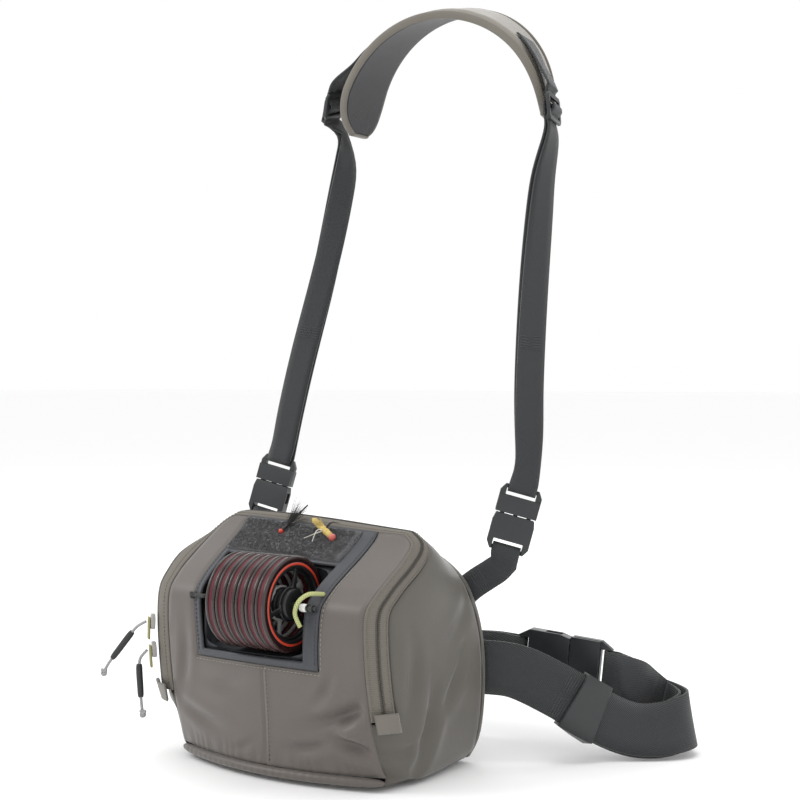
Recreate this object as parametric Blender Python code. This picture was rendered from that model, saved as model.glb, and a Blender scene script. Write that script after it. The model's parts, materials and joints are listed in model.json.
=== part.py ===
"""A hip pack for fly fishing: a zipped fabric bag with a window for tippet spools, a fly patch, a
padded shoulder loop on two side-release buckles and a buckled waist belt.

Every size is in metres. The pack is modelled with its base centre at the pack frame's origin, front
towards -Y and +Z up. The whole assembly hangs from an empty that puts the inside of the shoulder
pad's apex at the world origin, which is where a shoulder or a hook carries it.
"""

import math

import bmesh
import bpy
import numpy as np
from mathutils import Matrix, Vector

# Bag
FRONT_WIDTH = 0.180  # between the two seams of the front panel
BACK_WIDTH = 0.202  # across the back seam
BAG_HEIGHT = 0.162  # floor to the ridge where the front panel ends
BAG_DEPTH = 0.117  # front bulge to back seam
FRONT_SHARE = 0.573  # of the depth, in front of the origin
FABRIC = 0.0018  # coated fabric with its thin foam
BACK_PAD = 0.0055  # padded back panel
SEAM_GAP = 0.0003  # between pieces sewn edge to edge or face to face
FRONT_SHIFT = -0.003  # the soft front panel has settled to the left
SIDE_BULGE = 0.0058  # how far the right side swells past a straight line
LEFT_BULGE = 0.0215  # the same on the left, where the soft bag leans out
CREST_BULGE = 0.0045  # the same over the top
LEFT_LIFT = 0.006  # the soft top stands this much higher on the left
BAND_HEIGHT = 0.0056  # rolled band along the foot of the front panel
BACK_RINGS = (
    # Rings of the back panel: shares of its outline and of its thickness
    (1.0, 0.0),
    (1.0, 0.55),
    (0.93, 1.0),
    (0.55, 1.0),  # round the bare middle that no webbing covers
)

# Zip
ZIP_WIDTH = 0.020
ZIP_TAPE = 0.0014
ZIP_SLIT = 0.0008  # between the two tapes
ZIP_RISE = 0.0012  # the tapes stand proud of the panels
COIL_WIDTH = 0.0048
COIL_THICK = 0.0014
ZIP_END_HEIGHT = 0.043
TAB_LENGTH = 0.014
SLIDER_LENGTH = 0.011
SLIDER_WIDTH = 0.0078
SLIDER_THICK = 0.0032
PULL_TAB_LENGTH = 0.016
PULL_TAB_WIDTH = 0.006
PULL_TAB_THICK = 0.0016
PULL_CORD_RADIUS = 0.0011
SLEEVE_RADIUS = 0.0024
KNOT_RADIUS = 0.0030

# Window, spool well and fly patch
WINDOW_HEIGHT = 0.075  # floor to the window's lower edge
WINDOW_LEFT = 0.060  # from the middle to its left edge
WINDOW_RIGHT = 0.048
WINDOW_FLARE = 0.007  # each side opens by this much towards the ridge
FRAME_THICK = 0.0014
SILL = 0.006
LEFT_BAND = 0.007
RIGHT_BAND = 0.012
BROW_HEIGHT = 0.1400  # floor to the well's upper edge
PATCH_MARGIN = 0.0035
PATCH_THICK = 0.0024
WELL_WALL = 0.0012
WELL_CLEARANCE = 0.0030  # round the spools

# Spools on their cord
SPOOL_COUNT = 6
SPOOL_PITCH = 0.0087
SPOOL_GAP = 0.0006
SPOOL_SIDE_GAP = 0.0110  # from the last spool to the well's right end
SPOOL_RADIUS = 0.0325  # over the clear keeper band
RING_RADIUS = 0.0285  # printed ring on the side
WEB_RADIUS = 0.0240  # pierced web inside the ring
HUB_RADIUS = 0.0105
HUB_BOSS = 0.0007
SPOOL_BORE = 0.0022
WEB_WINDOWS = 3  # openings in each spool's web
WINDOW_EDGE = 0.0016  # web left round them
WEB_THICK = 0.0016
BAND_DEPTH = 0.0010  # the ring is this much lower than the keeper band
AXLE_HEIGHT = 0.117
CORD_RADIUS = 0.0015
STOP_LENGTH = 0.005
STOP_RADIUS = 0.0032
LOOP_CORD_RADIUS = 0.0015
HOPPER_RADIUS = 0.0026
HOPPER_LENGTH = 0.026
STREAMER_RADIUS = 0.0017
STREAMER_LENGTH = 0.028

# Webbing, pad and hardware
STRAP = 0.020
STRAP_THICK = 0.0014
BELT = 0.038
BELT_THICK = 0.0017
CLEAR = 0.0004  # between webbing and what it passes
ANCHOR_HEIGHT = 0.129  # on the back panel
ANCHOR_SPREAD = 0.080  # from the middle to each anchor
ANCHOR_LAP = 0.016
ANCHOR_DROP = 0.014  # the webbing's sewn end lies this far lower
LOOP_HEIGHT = 0.338  # from the anchors to the pad's ends
LOOP_LEAN = 0.085  # the pad stands this far behind the back panel
PAD_SPAN = 0.164
PAD_RISE = 0.083
PAD_WIDTH = 0.056
PAD_THICK = 0.0075
MESH_THICK = 0.0022
BINDING = 0.0020
BINDING_HEIGHT = 0.0062
PAD_TURN = 3.0  # degrees about the vertical
PAD_TWIST = 18.0  # more degrees towards its right end
PAD_TILT = 13.0  # degrees, the neck side is higher
PAD_SHIFT = 0.012
GLIDE_LENGTH = 0.021
GLIDE_RAIL = 0.0036
GLIDE_THICK = 0.0024
SLOT = 0.0046
BELT_REACH = 0.110  # the fastened belt's loop stands this far off to the right
BELT_DROP = 0.120  # and this far behind the back panel
BELT_WIDEN = 0.0040  # between the belt and its turned-back tail
KEEPER = 0.024


def smooth_curve(rows, steps):
    """A Catmull-Rom curve through the rows, with steps stretches between each two of them."""
    rows = np.asarray(rows, float)
    padded = np.vstack([2 * rows[0] - rows[1], rows, 2 * rows[-1] - rows[-2]])
    share = (np.arange(steps) / steps)[:, None]
    pieces = []
    for i in range(len(rows) - 1):
        a, b, c, d = padded[i : i + 4]
        cubic = 3 * b - a - 3 * c + d
        square = 2 * a - 5 * b + 4 * c - d
        pieces.append(0.5 * (2 * b + (c - a) * share + square * share**2 + cubic * share**3))
    return np.vstack([*pieces, rows[-1:]])


def arc_length(points):
    return np.r_[0, np.cumsum(np.linalg.norm(np.diff(points, axis=0), axis=1))]


def read_along(table, along, at):
    """Rows of the table read at the given places of its own length, by straight interpolation."""
    return np.column_stack([np.interp(at, along, column) for column in np.asarray(table).T])


def unit(vectors):
    return vectors / np.linalg.norm(vectors, axis=-1, keepdims=True)


def smoothstep(value):
    value = np.clip(value, 0.0, 1.0)
    return value * value * (3 - 2 * value)


class Pack:
    """Builds named objects under one parent, each with its own material."""

    def __init__(self, origin):
        self.root = bpy.data.objects.new("pack_origin", None)
        self.root.location = -Vector(origin)
        bpy.context.collection.objects.link(self.root)

    def material(self, name, colour, roughness, metallic=0.0):
        material = bpy.data.materials.new(name)
        material.use_nodes = True
        shader = material.node_tree.nodes["Principled BSDF"]
        shader.inputs["Base Color"].default_value = (*colour, 1.0)
        shader.inputs["Roughness"].default_value = roughness
        shader.inputs["Metallic"].default_value = metallic
        material.diffuse_color = (*colour, 1.0)
        return material

    def add(self, name, mesh, look, place=None):
        """Links a mesh as a named object with a material of its own."""
        colour, roughness = look
        mesh.materials.clear()
        mesh.materials.append(self.material(name, colour, roughness))
        mesh.shade_smooth()
        mesh.set_sharp_from_angle(angle=math.radians(35))
        item = bpy.data.objects.new(name, mesh)
        bpy.context.collection.objects.link(item)
        item.parent = self.root
        if place is not None:
            item.matrix_local = place
        return item

    def cut(self, item, cutters):
        """Cuts each cutter out of the item by an exact Boolean."""
        for index, (mesh, place) in enumerate(cutters):
            cutter = bpy.data.objects.new(f"{item.name}_cutter_{index}", mesh)
            bpy.context.collection.objects.link(cutter)
            cutter.parent = self.root
            cutter.matrix_local = place
            cutter.hide_render = True
            cutter.display_type = "WIRE"
            boolean = item.modifiers.new(f"cut_{index}", "BOOLEAN")
            boolean.object = cutter
            boolean.solver = "EXACT"


# Colours, each with a roughness
TAUPE = ((0.165, 0.150, 0.128), 0.55)
SIDE_TAUPE = ((0.140, 0.132, 0.112), 0.55)
TAPE = ((0.270, 0.250, 0.205), 0.80)
CHARCOAL = ((0.060, 0.064, 0.076), 0.50)
LOOP_PILE = ((0.045, 0.048, 0.058), 0.95)
WEBBING = ((0.036, 0.040, 0.044), 0.75)
PLASTIC = ((0.022, 0.024, 0.026), 0.40)
PAD_CLOTH = ((0.290, 0.270, 0.225), 0.75)
MESH = ((0.034, 0.034, 0.042), 0.90)
OLIVE = ((0.260, 0.250, 0.110), 0.60)
GREY = ((0.280, 0.280, 0.290), 0.70)
SPOOL = ((0.300, 0.030, 0.040), 0.35)
WHITE = ((0.800, 0.800, 0.780), 0.50)
LIME = ((0.480, 0.540, 0.160), 0.60)
FOAM = ((0.560, 0.400, 0.140), 0.60)
BLACK = ((0.015, 0.015, 0.016), 0.70)


def mesh_from(name, verts, faces):
    mesh = bpy.data.meshes.new(name)
    mesh.from_pydata([tuple(v) for v in np.asarray(verts, float)], [], [list(map(int, f)) for f in faces])
    mesh.update()
    return mesh


def grid_normals(grid, closed):
    """Unit normals of a grid of points, the cross product of its column and row directions."""
    if closed:
        along = np.roll(grid, -1, axis=0) - np.roll(grid, 1, axis=0)
    else:
        along = np.gradient(grid, axis=0)
    across = np.gradient(grid, axis=1)
    return unit(np.cross(across, along))


def shell(name, grid, thickness, keep=None, closed=False):
    """A closed wall behind a grid of points: the grid is its outer face and the wall goes inward.

    The grid runs rows by columns. keep masks its cells, and closed joins the last row to the first.
    The inner face is drawn in by the thickness all round, so that walls can meet at a corner.
    """
    rows, columns = grid.shape[:2]
    inner = grid - grid_normals(grid, closed) * thickness
    inner[:, 0] += unit(grid[:, 1] - grid[:, 0]) * thickness
    inner[:, -1] += unit(grid[:, -2] - grid[:, -1]) * thickness
    if not closed:
        inner[0] += unit(grid[1] - grid[0]) * thickness
        inner[-1] += unit(grid[-2] - grid[-1]) * thickness
    verts = np.concatenate([grid.reshape(-1, 3), inner.reshape(-1, 3)])
    cell_rows = rows if closed else rows - 1
    keep = np.ones((cell_rows, columns - 1), bool) if keep is None else keep
    back = rows * columns
    faces = []
    edges = {}
    for r in range(cell_rows):
        for c in range(columns - 1):
            if not keep[r, c]:
                continue
            low, high = r * columns + c, ((r + 1) % rows) * columns + c
            face = [low, low + 1, high + 1, high]
            faces.append(face)
            faces.append([back + v for v in reversed(face)])
            for start, end in zip(face, face[1:] + face[:1]):
                if (end, start) in edges:
                    edges.pop((end, start))
                else:
                    edges[(start, end)] = True
    faces += [[end, start, back + start, back + end] for start, end in edges]
    used = sorted({v for face in faces for v in face})
    renumber = {v: i for i, v in enumerate(used)}
    return mesh_from(name, verts[used], [[renumber[v] for v in face] for face in faces])


def ribbon(name, centres, widths, facings, width, thickness, closed=False, returning=None):
    """A webbing-like strip: sections of width by thickness along the centres.

    widths are the width directions and facings the directions that the strip's outer face looks.
    returning marks the segments that run back along their route. Both broad faces of a segment are
    split along one diagonal, the same in space for a returning layer, so that twisted ones don't cross.
    """
    widths, facings = unit(np.asarray(widths, float)), unit(np.asarray(facings, float))
    width = np.broadcast_to(np.asarray(width, float).reshape(-1, 1), (len(centres), 1))
    side, face = widths * width / 2, facings * thickness / 2
    sections = np.stack(
        [centres - side + face, centres + side + face, centres + side - face, centres - side - face], 1
    )
    count = len(centres)
    returning = np.zeros(count, bool) if returning is None else returning
    verts = sections.reshape(-1, 3)
    faces = []
    for i in range(count if closed else count - 1):
        low, high = 4 * i, 4 * ((i + 1) % count)
        if returning[i]:
            faces += [[low, low + 1, high], [low + 1, high + 1, high]]
            faces += [[low + 2, low + 3, high + 3], [low + 2, high + 3, high + 2]]
        else:
            faces += [[low, low + 1, high + 1], [low, high + 1, high]]
            faces += [[low + 2, low + 3, high + 2], [low + 3, high + 3, high + 2]]
        faces += [[low + k, low + (k + 1) % 4, high + (k + 1) % 4, high + k] for k in (1, 3)]
    if not closed:
        faces += [[3, 2, 1, 0], [4 * count - 4 + k for k in range(4)]]
    return outward(mesh_from(name, verts, faces))


def outward(mesh):
    """Turns every face of a closed mesh outward."""
    build = bmesh.new()
    build.from_mesh(mesh)
    bmesh.ops.recalc_face_normals(build, faces=build.faces)
    build.to_mesh(mesh)
    build.free()
    return mesh


def prism(name, outline, low, high):
    """An outline in X and Z, extruded along Y."""
    outline = np.asarray(outline, float)
    count = len(outline)
    front = np.column_stack([outline[:, 0], np.full(count, low), outline[:, 1]])
    back = np.column_stack([outline[:, 0], np.full(count, high), outline[:, 1]])
    faces = [list(range(count)), list(range(2 * count - 1, count - 1, -1))]
    faces += [[i, (i + 1) % count, count + (i + 1) % count, count + i] for i in range(count)]
    return outward(mesh_from(name, np.vstack([front, back]), faces))


def extruded_x(name, outline, low, high):
    """An outline in Y and Z, extruded along X."""
    mesh = prism(name, outline, low, high)
    for vertex in mesh.vertices:
        vertex.co.x, vertex.co.y = vertex.co.y, vertex.co.x
    return outward(mesh)


def block(name, low, high):
    """A box between two corners."""
    (x0, y0, z0), (x1, y1, z1) = low, high
    return prism(name, [(x0, z0), (x1, z0), (x1, z1), (x0, z1)], y0, y1)


def turned(name, profile, segments=24):
    """A closed outline of (along X, radius) turned about the X axis."""
    profile = np.asarray(profile, float)
    angle = np.arange(segments) * 2 * math.pi / segments
    ring = np.stack([np.cos(angle), np.sin(angle)], 1)
    count = len(profile)
    verts = np.empty((segments, count, 3))
    verts[:, :, 0] = profile[:, 0]
    verts[:, :, 1:] = ring[:, None, :] * profile[None, :, 1:2]
    faces = []
    for s in range(segments):
        here, there = s * count, ((s + 1) % segments) * count
        faces += [
            [here + k, here + (k + 1) % count, there + (k + 1) % count, there + k] for k in range(count)
        ]
    return outward(mesh_from(name, verts.reshape(-1, 3), faces))


def rod(name, points, radius, sides=10):
    """A round rod along a curve, as a mesh with capped ends."""
    points = np.asarray(points, float)
    radius = np.broadcast_to(radius, len(points))
    tangent = unit(np.gradient(points, axis=0))
    reference = np.array([0.0, 0.0, 1.0]) if abs(tangent[0, 2]) < 0.8 else np.array([1.0, 0.0, 0.0])
    side = unit(np.cross(tangent, reference))
    other = np.cross(tangent, side)
    angle = np.arange(sides) * 2 * math.pi / sides
    ring = side[:, None] * np.cos(angle)[:, None] + other[:, None] * np.sin(angle)[:, None]
    verts = (points[:, None] + ring * radius[:, None, None]).reshape(-1, 3)
    faces = [list(range(sides)), list(range(len(verts) - sides, len(verts)))]
    for i in range(len(points) - 1):
        faces += [
            [i * sides + k, i * sides + (k + 1) % sides, (i + 1) * sides + (k + 1) % sides, (i + 1) * sides + k]
            for k in range(sides)
        ]
    return outward(mesh_from(name, verts, faces))


class Bag:
    """The bag's surfaces: the front panel, and the strip between its edge and the back seam."""

    # Shares of bag height, bag depth, half the front width, bag depth, bag height and half the back width
    PROFILE = (
        # height, depth, front half, front bow, back height, back half
        (0.037, -0.393, 1.010, 0.170, 0.006, 0.871),
        (0.093, -0.430, 0.995, 0.130, 0.062, 0.941),
        (0.247, -0.500, 0.980, 0.070, 0.222, 0.990),
        (0.444, -0.548, 0.970, 0.045, 0.395, 1.000),
        (0.617, -0.568, 0.968, 0.035, 0.531, 0.985),
        (0.722, -0.553, 0.968, 0.035, 0.605, 0.960),
        (0.784, -0.470, 0.975, 0.035, 0.654, 0.936),
        (0.827, -0.385, 0.978, 0.030, 0.691, 0.911),
        (0.907, -0.205, 0.975, 0.020, 0.765, 0.851),
        (0.963, -0.094, 0.950, 0.015, 0.833, 0.752),
        (1.000, -0.052, 0.850, 0.010, 0.883, 0.614),
    )
    BACK_CROWN = 0.049  # of the height, from the last row's back height to the top of the back

    def __init__(self):
        scale = [BAG_HEIGHT, BAG_DEPTH, FRONT_WIDTH / 2, BAG_DEPTH, BAG_HEIGHT, BACK_WIDTH / 2]
        self.dense = smooth_curve(np.array(self.PROFILE) * scale, 6)
        self.along = arc_length(self.dense[:, :2])
        self.length = self.along[-1]
        self.back_y = (1 - FRONT_SHARE) * BAG_DEPTH
        self.back_face = self.back_y + SEAM_GAP + BACK_PAD

    def row(self, at):
        """height, depth, front half, front bow, back height and back half up the front profile."""
        return read_along(self.dense, self.along, np.atleast_1d(at))

    def at_height(self, height):
        return float(np.interp(height, self.dense[:, 0], self.along))

    def lift(self, x, z):
        """The extra height of the soft top towards the left."""
        return LEFT_LIFT * smoothstep((z / BAG_HEIGHT - 0.6) / 0.4) * smoothstep(-x / FRONT_WIDTH + 0.5)

    def front(self, x, at):
        """Points of the front panel: arrays of x and of places up the profile give a grid."""
        height, depth, half, bow = (column[:, None] for column in self.row(at)[:, :4].T)
        across = np.clip((x - FRONT_SHIFT) / half, -1, 1)
        y = depth - bow * (1 - across**2)
        z = np.broadcast_to(height, x.shape)
        return np.stack([x, y, z + self.lift(x, z)], -1)

    def stations(self, side_steps=15):
        """The loop round the bag: front point, back point, height share and a zip mark for each."""
        first, last = self.row(0.0)[0], self.row(self.length)[0]
        front, back, mark = [], [], []

        def add(front_share, row, back_height, place):
            height, depth, half, bow, _, back_half = row
            plan = (front_share * half, depth - bow * (1 - front_share**2), height)
            front.append(plan)
            back.append((front_share * back_half, self.back_y, back_height))
            mark.append(place)

        for share in (0.0, 0.35, 0.7, 0.96):
            add(share, first, 0.0, -1.0)
            front[-1] = (front[-1][0], front[-1][1] + BAND_HEIGHT * 0.7, 0.0)
        for at in np.linspace(0, self.length, side_steps):
            row = self.row(at)[0]
            add(1.0, row, row[4], at)
        for share in (0.66, 0.33, 0.0):
            crown = self.BACK_CROWN * BAG_HEIGHT * (1 - share**2)
            add(share, last, last[4] + crown, self.length)
        front, back, mark = np.array(front), np.array(back), np.array(mark)
        mirror = np.array([-1, 1, 1])
        front = np.vstack([front, front[-2:0:-1] * mirror])
        back = np.vstack([back, back[-2:0:-1] * mirror])
        mark = np.r_[mark, mark[-2:0:-1]]
        front[:, 0] += FRONT_SHIFT
        front[:, 2] += self.lift(front[:, 0], front[:, 2])
        back[:, 2] += self.lift(back[:, 0], back[:, 2])
        return front, back, mark

    def side(self, front, back, mark, distance, rise=0.0):
        """Points on the strip from front to back, at distances from its front edge.

        distance has a row for each station. rise lifts the points off the strip and may vary too.
        """
        span = back - front
        share = distance / np.linalg.norm(span, axis=1)[:, None]
        loop = np.roll(front + back, -1, axis=0) - np.roll(front + back, 1, axis=0)
        out = unit(np.cross(span, loop))
        top = smoothstep((front[:, 2] / BAG_HEIGHT - 0.85) / 0.15)
        left = smoothstep(0.5 - front[:, 0] / FRONT_WIDTH) * smoothstep(front[:, 2] / BAG_HEIGHT / 0.25)
        swell = SIDE_BULGE + (LEFT_BULGE - SIDE_BULGE) * left
        swell = np.where(mark < 0, 0.0, swell + (CREST_BULGE - swell) * top)[:, None]
        # The swell peaks early on its way back, earliest on the left
        early = 1 - (1 - np.clip(share, 0, 1)) ** (1.5 + 1.8 * left)[:, None]
        bow = np.sin(math.pi * early) * swell
        grid = front[:, None] + span[:, None] * share[..., None] + out[:, None] * bow[..., None]
        return grid + grid_normals(grid, True) * np.broadcast_to(rise, distance.shape)[..., None]


def window_edges(bag, at):
    """x of the window's left and right edges at places up the front profile."""
    height = bag.row(at)[:, 0]
    flare = WINDOW_FLARE * smoothstep((height - WINDOW_HEIGHT) / (BAG_HEIGHT - WINDOW_HEIGHT))
    return -(WINDOW_LEFT + flare), WINDOW_RIGHT + flare * 0.6


def spread(start, end, steps):
    """Columns from start to end, both arrays with a value for each row."""
    share = np.linspace(0, 1, steps + 1)
    return start[:, None] * (1 - share) + end[:, None] * share


def build_front(pack, bag):
    base_at = bag.at_height(WINDOW_HEIGHT)
    lower = np.linspace(SEAM_GAP, base_at, 7)
    upper = np.linspace(base_at, bag.length - SEAM_GAP, 10)[1:]
    at = np.r_[lower, upper]
    left, right = window_edges(bag, at)
    half = bag.row(at)[:, 2] - SEAM_GAP
    edges = (FRONT_SHIFT - half, left, right, FRONT_SHIFT + half)
    spans = [spread(low, high, count) for low, high, count in zip(edges, edges[1:], (3, 5, 3))]
    x = np.hstack([spans[0], spans[1][:, 1:], spans[2][:, 1:]])
    keep = np.ones((len(at) - 1, x.shape[1] - 1), bool)
    keep[len(lower) - 1 :, 3:8] = False
    pack.add("front_panel", shell("front_panel", bag.front(x, at), FABRIC, keep), TAUPE)

    sill_at = base_at + SILL
    brow_at = bag.at_height(BROW_HEIGHT)
    at = np.r_[base_at + SEAM_GAP, np.linspace(sill_at, brow_at, 7), np.linspace(brow_at, bag.length - SEAM_GAP, 6)[1:]]
    left, right = window_edges(bag, at)
    left, right = left + SEAM_GAP, right - SEAM_GAP
    x = np.hstack([left[:, None], spread(left + LEFT_BAND, right - RIGHT_BAND, 5), right[:, None]])
    keep = np.ones((len(at) - 1, x.shape[1] - 1), bool)
    keep[1:7, 1:6] = False
    frame = bag.front(x, at)
    pack.add("window_frame", shell("window_frame", frame, FRAME_THICK, keep), CHARCOAL)

    at = np.linspace(brow_at + PATCH_MARGIN, bag.length - PATCH_MARGIN * 0.5, 6)
    left, right = window_edges(bag, at)
    x = spread(left + LEFT_BAND * 0.5, right - RIGHT_BAND, 5)
    face = bag.front(x, at)
    face = face + grid_normals(face, False) * (PATCH_THICK + SEAM_GAP)
    pack.add("fly_patch", shell("fly_patch", face, PATCH_THICK), LOOP_PILE)
    build_well(pack, bag, sill_at, brow_at)


def axle_y(bag):
    """The spools' axle lies just behind the front panel's face."""
    return bag.row(bag.at_height(AXLE_HEIGHT))[0, 1] + CORD_RADIUS


def well_sides():
    return -(WINDOW_LEFT - LEFT_BAND - SEAM_GAP), WINDOW_RIGHT - RIGHT_BAND - SEAM_GAP


def build_well(pack, bag, sill_at, brow_at):
    """A trough round the spools with closed ends, open to the front."""
    left, right = well_sides()
    centre_y, radius = axle_y(bag), SPOOL_RADIUS + WELL_CLEARANCE
    behind = FRAME_THICK + SEAM_GAP

    def face(share):
        """Depth and height just behind the window frame, at a share of the way from brow to sill."""
        place = brow_at + (sill_at - brow_at) * share
        row, next_row = bag.row(place), bag.row(place + SEAM_GAP)
        climb = unit(next_row[:, :2] - row[:, :2])
        return row[:, 1] - row[:, 3] * 0.6 + climb[:, 0] * behind, row[:, 0] - climb[:, 1] * behind

    def arc(grow):
        depth, height = face(np.array([0.0, 1.0]))
        angle = np.arctan2(height - AXLE_HEIGHT, depth - centre_y)
        sweep = np.linspace(angle[1], angle[0], 14)
        return np.column_stack([centre_y + (radius + grow) * np.cos(sweep), AXLE_HEIGHT + (radius + grow) * np.sin(sweep)])

    outer, inner = arc(WELL_WALL), arc(0.0)
    front_edge = np.column_stack(face(np.linspace(0, 1, 7)[1:-1]))
    plug = extruded_x("spool_well", np.vstack([outer, front_edge]), left - WELL_WALL, right + WELL_WALL)
    reach = 2 * SPOOL_RADIUS
    mouth = np.array([(inner[-1, 0] - reach * 0.4, inner[-1, 1] + reach * 0.35), (centre_y - reach, AXLE_HEIGHT + reach), (centre_y - reach, inner[0, 1])])
    hollow = extruded_x("well_hollow", np.vstack([inner, mouth]), left, right)
    well = pack.add("spool_well", plug, CHARCOAL)
    pack.cut(well, [(hollow, Matrix.Identity(4))])


def zip_rise(distance):
    """How far the tapes stand proud: nothing at their sewn edges, ZIP_RISE towards the coil."""
    edge = np.minimum(distance, ZIP_WIDTH - distance)
    return ZIP_RISE * smoothstep(edge / (ZIP_WIDTH * 0.3))


def build_sides(pack, bag):
    front, back, mark = bag.stations()
    length = np.linalg.norm(back - front, axis=1)
    zip_start = bag.at_height(ZIP_END_HEIGHT)
    zipped = mark >= zip_start
    gap = np.full(len(front), SEAM_GAP)
    zip_end = np.full(len(front), ZIP_WIDTH)
    columns = np.hstack([gap[:, None], spread(zip_end, length - SEAM_GAP, 5)])
    keep = np.ones((len(front), columns.shape[1] - 1), bool)
    whole = zipped & np.roll(zipped, -1)
    keep[whole, 0] = False
    grid = bag.side(front, back, mark, columns)
    pack.add("side_shell", shell("side_shell", grid, FABRIC, keep, closed=True), SIDE_TAUPE)

    run = np.nonzero(zipped)[0]
    part = (front, back, mark)
    middle = ZIP_WIDTH / 2
    tapes = (
        ("zip_tape_front", SEAM_GAP, middle - ZIP_SLIT / 2),
        ("zip_tape_rear", middle + ZIP_SLIT / 2, ZIP_WIDTH - SEAM_GAP),
    )
    for name, start, end in tapes:
        columns = np.broadcast_to(np.linspace(start, end, 3), (len(front), 3))
        grid = bag.side(*part, columns, zip_rise(columns))[run]
        pack.add(name, shell(name, trimmed(grid), ZIP_TAPE), TAPE)
    columns = np.broadcast_to(middle + np.array([-0.5, 0.0, 0.5]) * COIL_WIDTH, (len(front), 3))
    grid = bag.side(*part, columns, ZIP_RISE + SEAM_GAP + COIL_THICK)[run]
    pack.add("zip_coil", shell("zip_coil", trimmed(grid), COIL_THICK), TAPE)
    build_zip_ends(pack, bag, front, back, mark, run)
    return front, back, mark


def trimmed(grid):
    """The same strip with its first and last rows drawn in by the seam gap."""
    grid = grid.copy()
    for end, inner in ((0, 1), (-1, -2)):
        step = grid[inner] - grid[end]
        grid[end] = grid[end] + step * SEAM_GAP / np.linalg.norm(step, axis=1, keepdims=True)
    return grid


def build_zip_ends(pack, bag, front, back, mark, run):
    """A sewn tab over each lower end of the zip, and two sliders with pulls on its left run."""
    columns = np.broadcast_to(np.linspace(SEAM_GAP * 2, ZIP_WIDTH - SEAM_GAP * 2, 4), (len(front), 4))
    over = ZIP_RISE + SEAM_GAP * 3 + COIL_THICK + FABRIC * 0.7
    surface = bag.side(front, back, mark, columns, over)
    ends = (("zip_end_right", run[0], 1), ("zip_end_left", run[-1], -1))
    for name, station, step in ends:
        start = surface[(station - step) % len(front)]
        end = surface[station]
        away = unit(end - start)
        low = end - away * TAB_LENGTH * 0.45
        high = end + away * TAB_LENGTH * 0.55
        grid = np.stack([low, (low + high) / 2, high] if step > 0 else [high, (low + high) / 2, low])
        pack.add(name, shell(name, grid, FABRIC * 0.7), TAPE)


def strip_frames(points, widths, steps):
    """A smooth route: points, unit tangents, width directions and facings, and its length so far."""
    route = smooth_curve(np.hstack([points, widths]), steps)
    centres, side = route[:, :3], unit(route[:, 3:])
    tangent = unit(np.gradient(centres, axis=0))
    side = unit(side - tangent * np.sum(side * tangent, axis=1, keepdims=True))
    return centres, tangent, side, np.cross(side, tangent)


def frame_matrix(origin, z_axis, x_wish):
    """A placement with the given Z direction, and X as near as it gets to x_wish."""
    z = unit(np.asarray(z_axis, float))
    x = unit(x_wish - z * np.dot(x_wish, z))
    matrix = Matrix.Identity(4)
    for i in range(3):
        matrix[i][0], matrix[i][1], matrix[i][2], matrix[i][3] = x[i], np.cross(z, x)[i], z[i], origin[i]
    return matrix


class Route:
    """A strap's route in space, which layers of webbing follow at an offset from it."""

    def __init__(self, points, widths, steps=8):
        self.centres, self.tangent, self.side, self.facing = strip_frames(points, widths, steps)
        self.along = arc_length(self.centres)
        self.length = self.along[-1]
        self.table = np.hstack([self.centres, self.tangent, self.side, self.facing])

    def at(self, place):
        """Position, tangent, side and facing at a place, straight on past either end."""
        place = np.atleast_1d(place)
        rows = read_along(self.table, self.along, np.clip(place, 0, self.length))
        beyond = place - np.clip(place, 0, self.length)
        tangent = unit(rows[:, 3:6])
        return rows[:, :3] + tangent * beyond[:, None], tangent, unit(rows[:, 6:9]), unit(rows[:, 9:12])

    def layer(self, name, path, width, thickness):
        """Webbing along a path of (place, offset out of the route)."""
        path = np.asarray(path, float)
        centre, tangent, side, facing = self.at(path[:, 0])
        step = np.gradient(path, axis=0)
        step = unit(step)
        out = facing * step[:, :1] - tangent * step[:, 1:]
        returning = np.diff(path[:, 0]) < 0
        return ribbon(name, centre + facing * path[:, 1:], side, out, width, thickness, returning=returning)

    def matrix(self, place):
        """Local X along the width, Y against the facing and Z back along the route."""
        centre, tangent, side, _ = (row[0] for row in self.at(place))
        return frame_matrix(centre, -tangent, side)


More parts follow.
